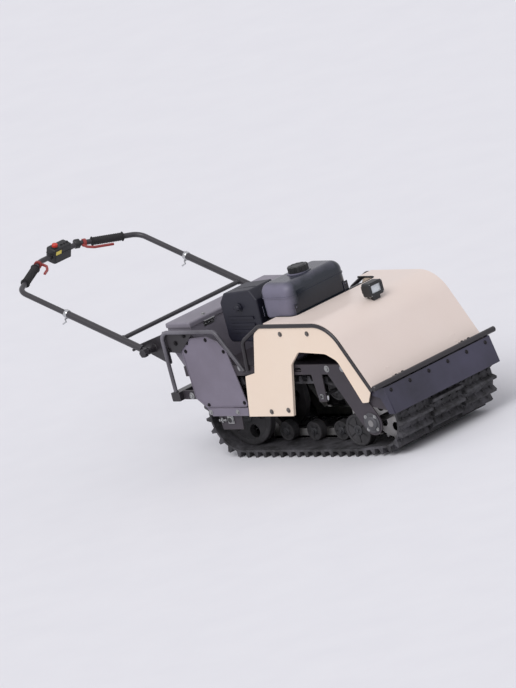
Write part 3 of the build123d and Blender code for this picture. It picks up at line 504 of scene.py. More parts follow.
faceLeft = {"fender": 347.0, "panel": 329.0, "sill": 335.0, "sidePlate": 326.0, "arm": 332.0, "gusset": 336.0}
plateBolts = {  # bolt size and the places, as millimetres back and up, on each outer face
    "fender": (8, [(565, 577), (399, 577), (636, 232), (742, 226)]),
    "panel": (6, [(1198, 500), (1178, 538), (1058, 550), (964, 496), (917, 262), (1140, 254)]),
    "sill": (8, [(1134, 222), (966, 222)]),
    "sidePlate": (10, [(218, 420), (760, 420), (890, 420), (1236, 296)]),
    "arm": (10, [(255, 412), (350, 412)]),
    "gusset": (8, [(1178, 574), (1240, 540), (1290, 510)]),
}
boltFinishes = {  # faces whose bolts share a finish
    "sheet_bolts": ("zincPlate", ["sidePlate", "arm", "sill"]),
    "dark_bolts": ("blackOxide", ["panel", "gusset"]),
    "fender_bolts": ("dullZinc", ["fender"]),
}


def makeBolts():
    for name, (finish, faces) in boltFinishes.items():
        shape = bmesh.new()
        for face in faces:
            size, places = plateBolts[face]
            for back, up in places:
                for side in bothSides:
                    bolt(shape, spot(back, side * faceLeft[face], up), leftWay * side, size)
        newPiece(name, "root", finish, shape)


# axle ends: bearing flanges, nuts and the belt tensioners

axles = {"drive": (158, 165), "nose": (330, 108), "carrier": (430, 285), "idler": (1030, 185)}  # back and up
axleEnds = {
    "flange": [(46, 0), (46, 3.2), (44.5, 4), (33, 4), (31.5, 8), (29, 9.2), (17, 9.2)],
    "flangeThick": 4, "flangeBolts": 39.5,
    "slotPlate": (38, 36, 4), "slotNut": [(17, 0), (17, 3.6), (15, 4.6)],
    "rodOut": 6, "rodRadius": 4.0, "rodFrom": 18, "rodTo": 62,
    "rodNuts": (24, 46, 60), "rodNut": [(6.5, 0), (7.2, 0.6), (7.2, 5), (6.5, 5.6)],
    "anchorAt": 48, "anchor": (10, 22, 8),
    "carrierNut": [(13, 0), (13, 1.5), (11, 1.5), (11, 4.2), (9.6, 4.8)],
}


def makeAxleEnds(look):
    shape, flanges = bmesh.new(), bmesh.new()
    plateLeft, armLeft = faceLeft["sidePlate"], faceLeft["arm"]
    for side in bothSides:
        way = leftWay * side
        back, up = axles["drive"]
        lathe(flanges, spot(back, side * armLeft, up), way, look["flange"], around=32)
        for i in range(4):
            boltBack, boltUp = onCircle(axles["drive"], look["flangeBolts"], 45 + 90 * i)
            bolt(shape, spot(boltBack, side * (armLeft + look["flangeThick"]), boltUp), way, 6)
        back, up = axles["idler"]
        foot = spot(back, side * plateLeft, up)
        pad(shape, foot, way, upWay, look["slotPlate"])
        lathe(shape, foot + way * look["slotPlate"][2] / 1000, way, look["slotNut"], around=6)
        rodLeft = side * (plateLeft + look["rodOut"])
        ends = [spot(back + look[end], rodLeft, up) for end in ("rodFrom", "rodTo")]
        bead(shape, ends, look["rodRadius"])
        for place in look["rodNuts"]:
            lathe(shape, spot(back + place, rodLeft, up), -frontWay, look["rodNut"], around=6)
        pad(shape, spot(back + look["anchorAt"], side * plateLeft, up), way, upWay, look["anchor"])
        back, up = axles["carrier"]
        lathe(shape, spot(back, side * plateLeft, up), way, look["carrierNut"], around=6)
    newPiece("axle_end_fittings", "root", "zincPlate", shape)
    newPiece("bearing_flanges", "root", "castAlloy", flanges)


# wheel faces: a rubber tyre edge, ribs and a hub cap on each outer face

wheelLook = {
    "rimShare": 0.82, "ribProud": 2.6, "ribHub": 3, "ribRim": 2, "nutOut": 3.4,
    "wheels": [  # tyre radius, millimetres left of the middle, places, hub radius, number of ribs
        (44.0, 184.3, [(520, 79.3), (690, 79.3), (860, 79.3)], 15, 5),
        (72.7, 263.0, [axles["nose"]], 22, 6),
        (49.7, 233.0, [axles["carrier"]], 16, 5),
        (149.7, 235.0, [axles["idler"]], 40, 0),
    ],
}


def makeWheelFace(tyres, discs, centre, way, radius, hub, ribs, look):
    rim = radius * look["rimShare"]
    lathe(tyres, centre, way, [
        (radius - 0.4, 0), (radius - 1.2, 1.8), (radius - 3.4, 3.0), (rim + 2.6, 3.0), (rim, 1.4), (rim, 0),
    ], around=40, closed=True)
    lathe(discs, centre, way, [
        (hub + 3, 0), (hub + 1.5, 4), (hub, 5), (hub * 0.7, 5), (hub * 0.66, 3.4), (hub * 0.5, 3.4),
    ], around=24)
    bolt(discs, centre + way * look["nutOut"] / 1000, way, 8)
    for i in range(ribs):
        t = 2 * math.pi * (i + 0.5) / ribs
        spoke = frontWay * math.cos(t) + upWay * math.sin(t)
        flat = way.cross(spoke)
        ends = [(hub + 1, look["ribHub"]), (rim - 1, look["ribRim"])]
        corners = ends + [(run, -half) for run, half in ends[::-1]]
        plate(discs, [centre + (spoke * run + flat * half) / 1000 for run, half in corners], look["ribProud"])


def makeWheelFaces(look):
    tyres, discs = bmesh.new(), bmesh.new()
    for radius, left, places, hub, ribs in look["wheels"]:
        for back, up in places:
            for side in bothSides:
                centre = spot(back, side * left, up)
                makeWheelFace(tyres, discs, centre, leftWay * side, radius, hub, ribs, look)
    newPiece("wheel_tyres", "root", "wheelRubber", tyres)
    newPiece("wheel_discs", "root", "discNylon", discs)


# track: buttress ribs on the lugs and guide clips on the belt's inner face

trackLook = {
    "pulleys": {"drive": 125, "nose": 83, "carrier": 60, "idler": 160},  # radius of the belt's outer face
    "teeth": 15, "beltWidth": 600, "lugHigh": 25, "columnGap": 8,
    "ribWide": 6.0, "ribsPerLug": 4, "ribLine": [(21.0, 0), (12.6, 0), (8.6, 17.0)],  # along and out
    "clipWide": 22, "clipLeft": 110, "clipLine": [(-12, -10), (-9, -12.2), (9, -12.2), (12, -10)],
}


def beltLoop(pulleys):
    # the belt's outer line: the hull of the pulleys' circles, as points back and up with the length so far
    turns = [360 * i / 240 for i in range(240)]
    cloud = [onCircle(axles[name], radius, t) for name, radius in pulleys.items() for t in turns]
    hull = [cloud[i] for i in convex_hull_2d(cloud)]
    lengths = [0.0]
    for a, b in zip(hull, hull[1:] + hull[:1]):
        lengths.append(lengths[-1] + (b - a).length)
    return hull, lengths


def onBelt(loop, along):
    # the point at a length along the loop and the way on, both as back and up
    hull, lengths = loop
    along %= lengths[-1]
    i = bisect.bisect_right(lengths, along) - 1
    a, b = hull[i], hull[(i + 1) % len(hull)]
    share = (along - lengths[i]) / (lengths[i + 1] - lengths[i])
    return a.lerp(b, share), (b - a).normalized()


def lugPhase(loop, pitch, look):
    # where the outer lugs stand, read from the lug tips on the belt's right edge
    hull, lengths = loop
    edge = -look["beltWidth"] / 2000
    turn = [0.0, 0.0]
    for v in nodes["track"].data.vertices:
        if abs(v.co.y - edge) > 0.0005:
            continue
        p = Vector((bumperX - v.co.x, v.co.z)) * 1000
        i = min(range(len(hull)), key=lambda k: (p - hull[k]).length)
        step = (hull[(i + 1) % len(hull)] - hull[i - 1]).normalized()
        off = p - hull[i]
        if not 0.8 <= abs(off.cross(step)) / look["lugHigh"] <= 1.2:
            continue
        along = lengths[i] + off.dot(step)
        turn[0] += math.cos(2 * math.pi * along / pitch)
        turn[1] += math.sin(2 * math.pi * along / pitch)
    return math.atan2(turn[1], turn[0]) / (2 * math.pi) * pitch


def makeTrackDetail(look):
    loop = beltLoop(look["pulleys"])
    total = loop[1][-1]
    count = round(total / (2 * math.pi * look["pulleys"]["drive"] / look["teeth"]))
    pitch = total / count
    phase = lugPhase(loop, pitch, look)
    column = (look["beltWidth"] - 2 * look["columnGap"]) / 3
    ribs, clips = bmesh.new(), bmesh.new()

    def onFace(along, left, out):
        place, step = onBelt(loop, along)
        return spot(place.x + step.y * out, left, place.y - step.x * out)

    def addAcross(shape, line, lug, left, wide):
        ends = left - wide / 2, left + wide / 2
        skin(shape, [[onFace(lug + along, end, out) for along, out in line] for end in ends], closed=False)

    for i in range(count):
        for part, share in ((-1, 0.0), (0, 0.5), (1, 0.0)):
            for k in range(look["ribsPerLug"]):
                left = part * (column + look["columnGap"]) + ((k + 0.5) / look["ribsPerLug"] - 0.5) * column
                for flank in bothSides:
                    line = [(flank * along, out) for along, out in look["ribLine"]]
                    addAcross(ribs, line, phase + (i + share) * pitch, left, look["ribWide"])
        for side in bothSides:
            left = side * look["clipLeft"]
            addAcross(clips, look["clipLine"], phase + (i + 0.5) * pitch, left, look["clipWide"])
    newPiece("track_lug_ribs", "root", "trackRubber", ribs, crease=20)
    newPiece("track_clips", "root", "zincPlate", clips, crease=20)


# slide rails: plastic wear strips along their feet

railLook = {
    "faces": ((125.0, -1), (150.0, 1)),  # millimetres left of the middle, and the way out
    "front": 392.0, "back": 978.0, "low": 36.2, "high": 48.0, "slant": 8, "proud": 2.4,
}


def makeWearStrips(look):
    shape = bmesh.new()
    front, back, low, high, slant = (look[key] for key in ("front", "back", "low", "high", "slant"))
    outline = [(front, low), (back, low), (back - slant, high), (front + slant, high)]
    for side in bothSides:
        for left, way in look["faces"]:
            corners = [spot(b, side * left, up) for b, up in outline]
            plate(shape, corners[::-side * way], look["proud"], edge=1.0)
    newPiece("rail_wear_strips", "root", "slipPolymer", shape)


# welds on the frame

weldLook = {"radius": 2.6, "ripple": 0.16, "step": 2.4}
frameWelds = {  # places as millimetres back, left and up; what has a left also stands on the right
    "rings": [((1308, 345, 320.5), upWay, 9.6), ((1381, 337, 520), leftWay, 17)],
    "lines": [
        ((1282.6, 319.4, 283), (1282.6, 319.4, 317)), ((1282.6, 326.6, 283), (1282.6, 326.6, 317)),
        ((1112, 336.4, 582.4), (1290, 336.4, 582.4)), ((1298.4, 336.4, 505), (1298.4, 336.4, 572)),
    ],
    "hitch": (1333.6, 28), "hitchUps": (279.4, 288.6, 311.4, 320.6),
    "hinge": (44, 336), "hingeFaces": (189.6, 230.4), "hingeRadius": 13,
}


def weldLine(shape, start, end, look):
    count = max(3, int((end - start).length * 1000 / look["step"]))
    bead(shape, [start.lerp(end, i / count) for i in range(count + 1)], look["radius"], ripple=look["ripple"])


def weldRing(shape, centre, way, radius, look):
    count = 2 * int(math.pi * radius / look["step"])
    points = ring(centre, *squareTo(way), radius, count)
    bead(shape, points, look["radius"], closed=True, ripple=look["ripple"])


def makeFrameWelds(places, look):
    shape = bmesh.new()
    for side in bothSides:
        for (back, left, up), way, radius in places["rings"]:
            weldRing(shape, spot(back, side * left, up), way, radius, look)
        for line in places["lines"]:
            start, end = (spot(back, side * left, up) for back, left, up in line)
            weldLine(shape, start, end, look)
        back, up = places["hinge"]
        for left in places["hingeFaces"]:
            weldRing(shape, spot(back, side * left, up), leftWay, places["hingeRadius"], look)
    back, half = places["hitch"]
    for up in places["hitchUps"]:
        weldLine(shape, spot(back, -half, up), spot(back, half, up), look)
    newPiece("frame_welds", "root", "blackTubeCoat", shape, crease=80)


# sheet edges: rolled rims on the rear panels and the fenders' arches

rimLook = {
    "panel": [
        (1223, 498), (1190, 556), (1051, 566), (985, 540), (945, 498), (896, 244), (1150, 244), (1210, 283),
    ],
    "panelRadius": 14, "panelMiddle": (1058, 405), "panelInset": 0.985, "panelOut": 0.4, "panelRim": 2.2,
    "arch": [(614, 207), (546, 438), (484, 496), (318, 486), (256, 454), (166, 262)],
    "archRadii": [0, 24, 28, 70, 60, 0], "archOut": -0.6, "archRim": 2.4,
}


def makeRims(look):
    panels, arches = bmesh.new(), bmesh.new()
    middle = Vector(look["panelMiddle"])
    outline = rounded(look["panel"], look["panelRadius"])
    path = [middle + (p - middle) * look["panelInset"] for p in outline]
    arch = rounded(look["arch"], look["archRadii"])
    for side in bothSides:
        left = side * (faceLeft["panel"] + look["panelOut"])
        bead(panels, [spot(p.x, left, p.y) for p in path], look["panelRim"], closed=True)
        left = side * (faceLeft["fender"] + look["archOut"])
        bead(arches, [spot(b, left, z) for b, z in arch], look["archRim"])
    newPiece("panel_rims", "root", "greyPanelCoat", panels, crease=80)
    newPiece("arch_rims", "root", "sandFenderEnamel", arches, crease=80)


# bumper: rolled hem along its foot and carriage bolts through its top

bumperLook = {
    "foot": (0, 205), "top": (29, 322), "half": 328, "hem": (3.5, 207.5), "hemRadius": 3.4, "hemStep": 41,
    "boltUp": 303, "bolts": (-300, -180, -60, 60, 180, 300), "boltRadius": 9,
}


def makeBumperTrim(look):
    shape = bmesh.new()
    back, up = look["hem"]
    points = [spot(back, left, up) for left in range(-look["half"], look["half"] + 1, look["hemStep"])]
    bead(shape, points, look["hemRadius"], around=10)
    newPiece("bumper_hem", "root", "bumperEnamel", shape, crease=80)
    shape = bmesh.new()
    (footBack, footUp), (topBack, topUp) = look["foot"], look["top"]
    foot, top = spot(footBack, 0, footUp), spot(topBack, 0, topUp)
    rise = (top - foot).normalized()
    way = Vector((rise.z, 0, -rise.x))
    place = foot.lerp(top, (look["boltUp"] - footUp) / (topUp - footUp))
    for left in look["bolts"]:
        rivet(shape, place + leftWay * left / 1000, way, look["boltRadius"])
    newPiece("bumper_bolts", "root", "blackOxide", shape, crease=60)


# rear box: hinges, draw latches, lid screws and the ribs on its side walls

boxLook = {
    "front": 1149, "back": 1292, "fittings": (-200, 200), "lidScrew": (1171, 625),
    "knuckle": (-7, 602), "knuckleAlong": (-32, -11, 11, 32), "knuckleRadius": 4.0,
    "leaf": (64, 22, 2), "leafUp": 589, "leafRivets": (-2, 588), "rivetAlong": (-20, 0, 20),
    "latch": (28, 42, 3), "latchUp": 561, "lever": (18, 50, 4), "leverUp": 571,
    "pin": (9, 560), "pinHalf": 15, "wall": 311, "ribRadius": 3.0, "ribStep": 8,
    "ribs": [(470, 1170, 1243), (520, 1158, 1278), (560, 1158, 1278)],  # up, and from front to back
}


def makeBoxTrim(look):
    steel, coat = bmesh.new(), bmesh.new()
    front, back = look["front"], look["back"]
    for left in look["fittings"]:
        # leaf hinge along the lid's front edge
        out, up = look["knuckle"]
        knuckles = [spot(front + out, left + d, up) for d in look["knuckleAlong"]]
        bead(steel, knuckles, look["knuckleRadius"], around=12)
        pad(steel, spot(front, left, look["leafUp"]), frontWay, upWay, look["leaf"])
        out, up = look["leafRivets"]
        for d in look["rivetAlong"]:
            rivet(steel, spot(front + out, left + d, up), frontWay, 4)
        screwBack, up = look["lidScrew"]
        bolt(steel, spot(screwBack, left, up), upWay, 8)
        # over-centre draw latch on the rear wall
        pad(steel, spot(back, left, look["latchUp"]), -frontWay, upWay, look["latch"])
        pad(steel, spot(back + look["latch"][2], left, look["leverUp"]), -frontWay, upWay, look["lever"])
        out, up = look["pin"]
        bead(steel, [spot(back + out, left + side * look["pinHalf"], up) for side in bothSides], 3.0)
    for side in bothSides:
        for up, start, end in look["ribs"]:
            points = [spot(b, side * look["wall"], up) for b in range(start, end, look["ribStep"])]
            bead(coat, points, look["ribRadius"])
    newPiece("box_fittings", "root", "zincPlate", steel)
    newPiece("box_ribs", "root", "lightGreyCoat", coat, crease=80)


# engine: screws, spark plug boot and oil filler

engineLook = {
    "crank": (650, 505),
    "screwRings": [  # centre, radius, degrees, and millimetres left of the middle
        ((650, 505), 68, (60, 0, -60), 279.5), ((400, 500), 68, (120, 180, 240), 279.5),
        ((650, 505), 106, (225, 315), -140.5),
    ],
    "footBolts": [(back, left, 416) for back in (545, 755) for left in (89.5, -100.5)],
    "headLean": 25, "headFoot": (749.3, 9.5, 548), "coverEnd": 144, "coverScrews": (44, 34),
    "plug": (118, 46, 46),  # out along the head, left and square to it
    "plugBoot": [(9, 0), (9, 14), (11, 16), (11, 34), (8.5, 40), (8.5, 46), (6, 48)],
    "filler": (745, 74, 446), "fillerLean": 0.7,
    "fillerCap": [(13, 0), (13, 12), (17, 13), (17, 24), (15, 26), (6, 26.5)],
}


def makeEngineScrews(look):
    shape = bmesh.new()
    for centre, radius, turns, left in look["screwRings"]:
        for turn in turns:
            back, up = onCircle(centre, radius, turn)
            bolt(shape, spot(back, left, up), leftWay * math.copysign(1, left), 6)
    for place in look["footBolts"]:
        bolt(shape, spot(*place), upWay, 10)
    foot = spot(*look["headFoot"])
    out, top = leaned(look["headLean"])
    face = foot + out * look["coverEnd"] / 1000
    across, rise = look["coverScrews"]
    for i, j in cornerSigns:
        bolt(shape, face + (leftWay * i * across + top * j * rise) / 1000, out, 6)
    newPiece("engine_screws", "root", "zincPlate", shape)

    shape = bmesh.new()
    along, left, rise = look["plug"]
    plug = foot + (out * along + leftWay * left + top * rise) / 1000
    lathe(shape, plug, out * 0.5 + top, look["plugBoot"], around=18)
    lathe(shape, spot(*look["filler"]), upWay * look["fillerLean"] - frontWay, look["fillerCap"], around=12)
    newPiece("plug_boot_and_filler", "root", "blackAbs", shape)


# recoil starter: its pull grip at rest on the rim

starterLook = {
    "left": -176, "turn": 130, "out": 96, "neck": [(11, 0), (10, 5), (7, 8), (5, 9), (4.5, 16)], "barOut": 19,
    "bar": [(5.5, -30), (7.5, -27), (7.0, -12), (8.2, 0), (7.0, 12), (7.5, 27), (5.5, 30)],
}


def makeStarterGrip(look):
    shape = bmesh.new()
    back, up = engineLook["crank"]
    way = leaned(look["turn"])[0]
    foot = spot(back, look["left"], up) + way * look["out"] / 1000
    lathe(shape, foot, way, look["neck"], around=16)
    lathe(shape, foot + way * look["barOut"] / 1000, leftWay, look["bar"], around=16)
    newPiece("starter_grip", "root", "gripRubber", shape, crease=60)


# air cleaner: its cover's face, seam and ribs, and the wing knob that holds it

filterLook = {
    "outline": [(782, 522), (782, 690), (814, 732), (954, 718), (988, 682), (988, 536), (974, 522)],
    "right": -245.5, "middle": (885, 627), "seamLeft": -190, "seamGrow": (1.118, 1.115), "seamRadius": 3.2,
    "ribUps": (560, 590, 620), "rib": (150, 14, 2), "face": 2.4,
    "knob": (885, 668), "knobLine": [(19, 0), (19, 3), (13, 4), (12, 13), (9, 15)],
    "wing": [(4, -6), (22, -9), (22, -17), (4, -14)],
}


def makeFilterCover(look):
    shape = bmesh.new()
    right = look["right"]
    cover = [spot(b, right + 0.2, z) for b, z in rounded(look["outline"], 12, steps=4)]
    plate(shape, cover[::-1], 3.0, edge=1.2)
    (middleBack, middleUp), (growBack, growUp) = look["middle"], look["seamGrow"]
    bead(shape, [
        spot(middleBack + (b - middleBack) * growBack, look["seamLeft"], middleUp + (z - middleUp) * growUp)
        for b, z in rounded(look["outline"], 14, steps=4)
    ], look["seamRadius"], closed=True)
    for up in look["ribUps"]:
        pad(shape, spot(middleBack, right - look["face"], up), -leftWay, upWay, look["rib"], edge=0.9)
    back, up = look["knob"]
    knob = spot(back, right - look["face"] - 0.2, up)
    lathe(shape, knob, -leftWay, look["knobLine"], around=24)
    for side in bothSides:
        wing = [knob + (frontWay * side * x + leftWay * y - upWay * 2.5) / 1000 for x, y in look["wing"]]
        plate(shape, wing[::side], 5, edge=1.0)
    newPiece("filter_cover", "root", "navyAbs", shape, crease=50)


# heat shield: one bent sheet with rows of stamped slots, over the exhaust box

heatShield = {
    "front": 800, "bend": (926, 566), "bendRadius": 41.5, "foot": 506, "sides": (106, 240), "thick": 1.4,
    "topSteps": 13, "bendSteps": 6, "wallSteps": 6, "across": 21, "slotRows": 3, "slotColumns": 4,
    "screws": [(829, 120), (829, 226), (916.5, 120), (916.5, 226)], "screwUp": 608.8, "post": 10.8,
}


def shieldLine(look):
    # the sheet from the side: level over the box, round the bend and down behind it
    back, up = look["bend"]
    radius = look["bendRadius"]
    front, steps = look["front"], look["topSteps"]
    line = [(front + (back - front) * i / steps, up + radius) for i in range(steps)]
    steps = look["bendSteps"]
    line += [onCircle((back, up), radius, 90 - 90 * k / steps) for k in range(steps + 1)]
    steps = look["wallSteps"]
    return line + [(back + radius, up - (up - look["foot"]) * i / steps) for i in range(1, steps + 1)]


def makeHeatShield(look):
    line = shieldLine(look)
    rows, wide = len(line) - 1, look["across"]
    near, far = look["sides"]
    shape = bmesh.new()
    skins = {}
    for side in (1, -1):
        off = side * look["thick"] / 2
        for i, (back, up) in enumerate(line):
            before, after = line[max(i - 1, 0)], line[min(i + 1, rows)]
            size = math.dist(before, after)
            outBack, outUp = (before[1] - after[1]) / size, (after[0] - before[0]) / size
            for j in range(wide + 1):
                left = near + (far - near) * j / wide
                skins[side, i, j] = shape.verts.new(spot(back + outBack * off, left, up + outUp * off))

    def solid(i, j):
        if not (0 <= i < rows and 0 <= j < wide):
            return False
        slotted = i % look["slotRows"] == 1 and i < rows - 2
        return not (slotted and j % look["slotColumns"] and j < wide - 1)

    for i in range(rows):
        for j in range(wide):
            if not solid(i, j):
                continue
            corners = [(i, j), (i + 1, j), (i + 1, j + 1), (i, j + 1)]
            shape.faces.new([skins[(1, *c)] for c in corners])
            shape.faces.new([skins[(-1, *c)] for c in corners[::-1]])
            beyond = [(i, j - 1), (i + 1, j), (i, j + 1), (i - 1, j)]
            for a, c, cell in zip(corners, corners[1:] + corners[:1], beyond):
                if not solid(*cell):
                    shape.faces.new([skins[key] for key in ((1, *a), (-1, *a), (-1, *c), (1, *c))])
    for back, left in look["screws"]:
        lathe(shape, spot(back, left, look["screwUp"] - look["post"]), upWay, [(4, 0), (4, 9)], around=12)
        bolt(shape, spot(back, left, look["screwUp"]), upWay, 6)
    newPiece("heat_shield", "root", "brushedShield", shape, crease=30)


# fuel tank: filler neck, the cap's top ring and the straps that hold the tank

tankLook = {
    "filler": (650, -70.5), "neckUp": 765.6, "neck": [(54, 0), (54, 2.4), (51, 4.6), (47.5, 5.2)],
    "capUp": 795.8, "capRing": [(36, 0), (35, 1.6), (30, 1.8), (29, 0)],
    "straps": (-225, 84), "strap": (26, 46, 2.4), "strapUp": 645, "strapHalf": 97.6, "rivetUp": 656,
}


def makeTankTrim(look):
    back, left = look["filler"]
    shape = bmesh.new()
    lathe(shape, spot(back, left, look["neckUp"]), upWay, look["neck"], around=40)
    for strapLeft in look["straps"]:
        for end in bothSides:
            face = back + end * look["strapHalf"]
            pad(shape, spot(face, strapLeft, look["strapUp"]), -frontWay * end, upWay, look["strap"])
            rivet(shape, spot(face + end * look["strap"][2], strapLeft, look["rivetUp"]), -frontWay * end, 5)
    newPiece("tank_neck_and_straps", "root", "tankEnamel", shape)
    shape = bmesh.new()
    lathe(shape, spot(back, left, look["capUp"]), upWay, look["capRing"], around=36, closed=True)
    newPiece("cap_top", "root", "blackAbs", shape)


# hood: rubber edging round the tank notch, whose black bead also paints the shade at the tank's foot, and
# rivets through the hinge straps

hoodLook = {
    "notch": [(655, 258.5), (541, 258.5), (541, -258.5), (655, -258.5)], "notchRadii": [0, 30, 30, 0],
    "edgeUp": 624.3, "edging": 4.2, "rivetRadius": 5.0, "rivetProud": 0.16,
    "slope": 60, "strap": (87.7235, 326), "hinges": (-210, 210), "rivets": (22, 52), "rivetHalf": 8,
}


def makeHoodTrim(look):
    shape = bmesh.new()
    edge = rounded(look["notch"], look["notchRadii"], steps=8)
    # the black edging is partly a real trim and partly painted shade in the gap under the tank
    bead(shape, [spot(b, y, look["edgeUp"]) for b, y in edge], look["edging"], around=10)
    newPiece("hood_edging_and_shade_band", "hood", "gripRubber", shape, crease=80)
    shape = bmesh.new()
    along, above = leaned(look["slope"])
    back, up = look["strap"]
    for hinge in look["hinges"]:
        for run in look["rivets"]:
            for side in bothSides:
                place = spot(back, hinge + side * look["rivetHalf"], up) + along * run / 1000
                rivet(shape, place, above, look["rivetRadius"], look["rivetProud"])
    newPiece("hood_rivets", "hood", "sandHoodEnamel", shape, crease=60)


# headlight: bezel, cooling fins, and the screws of its face and foot

lampLook = {
    "front": 281, "back": 331, "up": 660, "wide": 84, "high": 62, "corner": 12, "band": 14,
    "fins": 5, "finPitch": 13, "finThick": 3, "fin": [(-1, -20), (9, -14), (9, 14), (-1, 20)],
    "faceScrews": (36, 25), "footBolts": (306, 22, 630),
}


def makeLampTrim(look):
    shape = bmesh.new()
    band = look["band"]
    rings = []
    for inset, out in ((-0.6, 0), (-0.6, 2.0), (0.6, 3.2), (band - 1.2, 3.2), (band, 1.6), (band, 0)):
        corner = max(3.0, look["corner"] - inset)
        outline = roundedRect(look["wide"] - 2 * inset, look["high"] - 2 * inset, corner)
        rings.append([spot(look["front"] - out, y, look["up"] + z) for y, z in outline])
    skin(shape, rings, closed=True)
    for i in range(look["fins"]):
        left = (i - (look["fins"] - 1) / 2) * look["finPitch"] - look["finThick"] / 2
        fin = [spot(look["back"] + b, left, look["up"] + z) for b, z in look["fin"]]
        plate(shape, fin[::-1], look["finThick"], edge=0.7)
    newPiece("lamp_bezel", "hood", "blackAbs", shape)
    shape = bmesh.new()
    across, rise = look["faceScrews"]
    for i, j in cornerSigns:
        rivet(shape, spot(look["front"] - 3.0, i * across, look["up"] + j * rise), frontWay, 2.4)
    back, left, up = look["footBolts"]
    for side in bothSides:
        bolt(shape, spot(back, side * left, up), leftWay * side, 6)
    newPiece("lamp_screws", "hood", "zincPlate", shape)


# handlebar: grip ribs, sleeve clamps and welds

barLook = {
    "pivot": (1381, 520), "rise": 22, "arm": 760, "crown": 125, "left": 379.5, "crownHalf": 120,
    "gripShare": 0.52, "gripRadius": 17, "ribs": 15, "ribPitch": 8.4, "collars": (-73, 69),
    "ribLine": [(-0.5, -2), (1.2, -1.2), (1.6, 0), (1.2, 1.2), (-0.5, 2)],  # past the grip's radius, along
    "collarLine": [(-1, 0), (4, 0.6), (4.6, 2), (4, 3.6), (-1, 4.2)],
    "clamp": 468, "clampLine": [(15.4, 0), (18, 0.8), (18.6, 2), (18.6, 16), (18, 17.2), (15.4, 18)],
    "clampLug": (9, -20), "lugHalf": 10, "lever": [(0, -13, 0), (-8, -14, -12), (10, -13, -30)],
    "crossWeld": (155, 15.6, 10.4), "footWeld": (32, 13.4),
}


def barPlace(look, run, left, out=0.0):
    # a place on the handlebar's plane: along the rising arm, to the left and square out of the plane
    along, above = leaned(look["rise"])
    back, up = look["pivot"]
    return spot(back, left, up) + (along * run + above * out) / 1000


def barEnd(look, side):
    # the slanted stretch that carries a grip: where it starts and ends
    start = barPlace(look, look["arm"], side * look["left"])
    return start, barPlace(look, look["arm"] + look["crown"], side * look["crownHalf"])


def makeGripRibs(look):
    shape = bmesh.new()
    radius = look["gripRadius"]
    for side in bothSides:
        start, end = barEnd(look, side)
        way = (end - start).normalized()
        middle = start.lerp(end, look["gripShare"])
        for i in range(look["ribs"]):
            foot = middle + way * (i - (look["ribs"] - 1) / 2) * look["ribPitch"] / 1000
            lathe(shape, foot, way, [(radius + r, d) for r, d in look["ribLine"]], around=24, closed=True)
        for d in look["collars"]:
            line = [(radius + r, d + step) for r, step in look["collarLine"]]
            lathe(shape, middle, way, line, around=28, closed=True)
    newPiece("grip_ribs", "handlebar", "gripRubber", shape, crease=50)


def makeSleeveClamps(look):
    along = leaned(look["rise"])[0]
    lugRun, lugOut = look["clampLug"]
    shape = bmesh.new()
    for side in bothSides:
        left = side * look["left"]

        def lug(run, aside, out):
            return barPlace(look, look["clamp"] + lugRun + run, left + aside, lugOut + out)

        lathe(shape, barPlace(look, look["clamp"], left), along, look["clampLine"], around=28, closed=True)
        half = look["lugHalf"]
        bolt(shape, lug(0, half, 0), leftWay, 6)
        lathe(shape, lug(0, -half, 0), leftWay, [(5.5, 0), (5.5, 2 * half)], around=12)
        bead(shape, [lug(*place) for place in look["lever"]], 3.6)
    newPiece("sleeve_clamps", "handlebar", "polishedClamp", shape)


def makeHandleWelds(look):
    shape = bmesh.new()
    run, inset, radius = look["crossWeld"]
    footRun, footRadius = look["footWeld"]
    for side in bothSides:
        weldRing(shape, barPlace(look, run, side * (look["left"] - inset)), leftWay, radius, weldLook)
        foot = barPlace(look, footRun, side * look["left"])
        weldRing(shape, foot, leaned(look["rise"])[0], footRadius, weldLook)
    newPiece("handle_welds", "handlebar", "handleTubeCoat", shape, crease=80)


# control pod: seam, dial, switch caps and screws, its blank patch, and the switch drum beside it

podLook = {
    "wide": 110, "long": 56, "top": 40, "seamOut": 12, "seamRadius": 1.3,
    "dialLeft": -27.5, "dial": [(19, 0), (19, 2), (17.5, 3), (14.5, 3), (14, 0.6)],
    "capLefts": (8, 26, 44), "capAlong": -6, "cap": [(6.5, 0), (6.5, 1.6), (5, 2.2), (4, 5), (3, 5.6)],
    "screws": (47, 20), "screwOut": 38.6, "patch": (34, 17, 0.8), "patchLeft": -30, "patchOut": 22,
    "drumShare": 0.97, "drum": [(13, 0), (19, 1), (21, 3), (21, 22), (19, 25), (13, 26)],
}


def makePodTrim(bar, look):
    along, above = leaned(bar["rise"])

    def pod(left, run, out):
        return barPlace(bar, bar["arm"] + bar["crown"] + run, left, out)

    shape = bmesh.new()
    seam = roundedRect(look["wide"] + 1, look["long"] + 1, 10.5)
    bead(shape, [pod(y, a, look["seamOut"]) for y, a in seam], look["seamRadius"], around=6, closed=True)
    lathe(shape, pod(look["dialLeft"], 0, look["top"]), above, look["dial"], around=28)
    for left in look["capLefts"]:
        lathe(shape, pod(left, look["capAlong"], look["top"]), above, look["cap"], around=16)
    across, run = look["screws"]
    for i, j in cornerSigns:
        rivet(shape, pod(i * across, j * run, look["screwOut"]), above, 3)
    newPiece("pod_trim", "handlebar", "blackAbs", shape)
    shape = bmesh.new()
    patch = pod(look["patchLeft"], -look["long"] / 2 - 0.1, look["patchOut"])
    pad(shape, patch, -along, above, look["patch"], edge=0.3)
    newPiece("pod_patch", "handlebar", "yellowVinyl", shape)
    shape = bmesh.new()
    start, end = barEnd(bar, 1)
    lathe(shape, start.lerp(end, look["drumShare"]), end - start, look["drum"], around=30)
    newPiece("switch_drum", "handlebar", "blackAbs", shape)


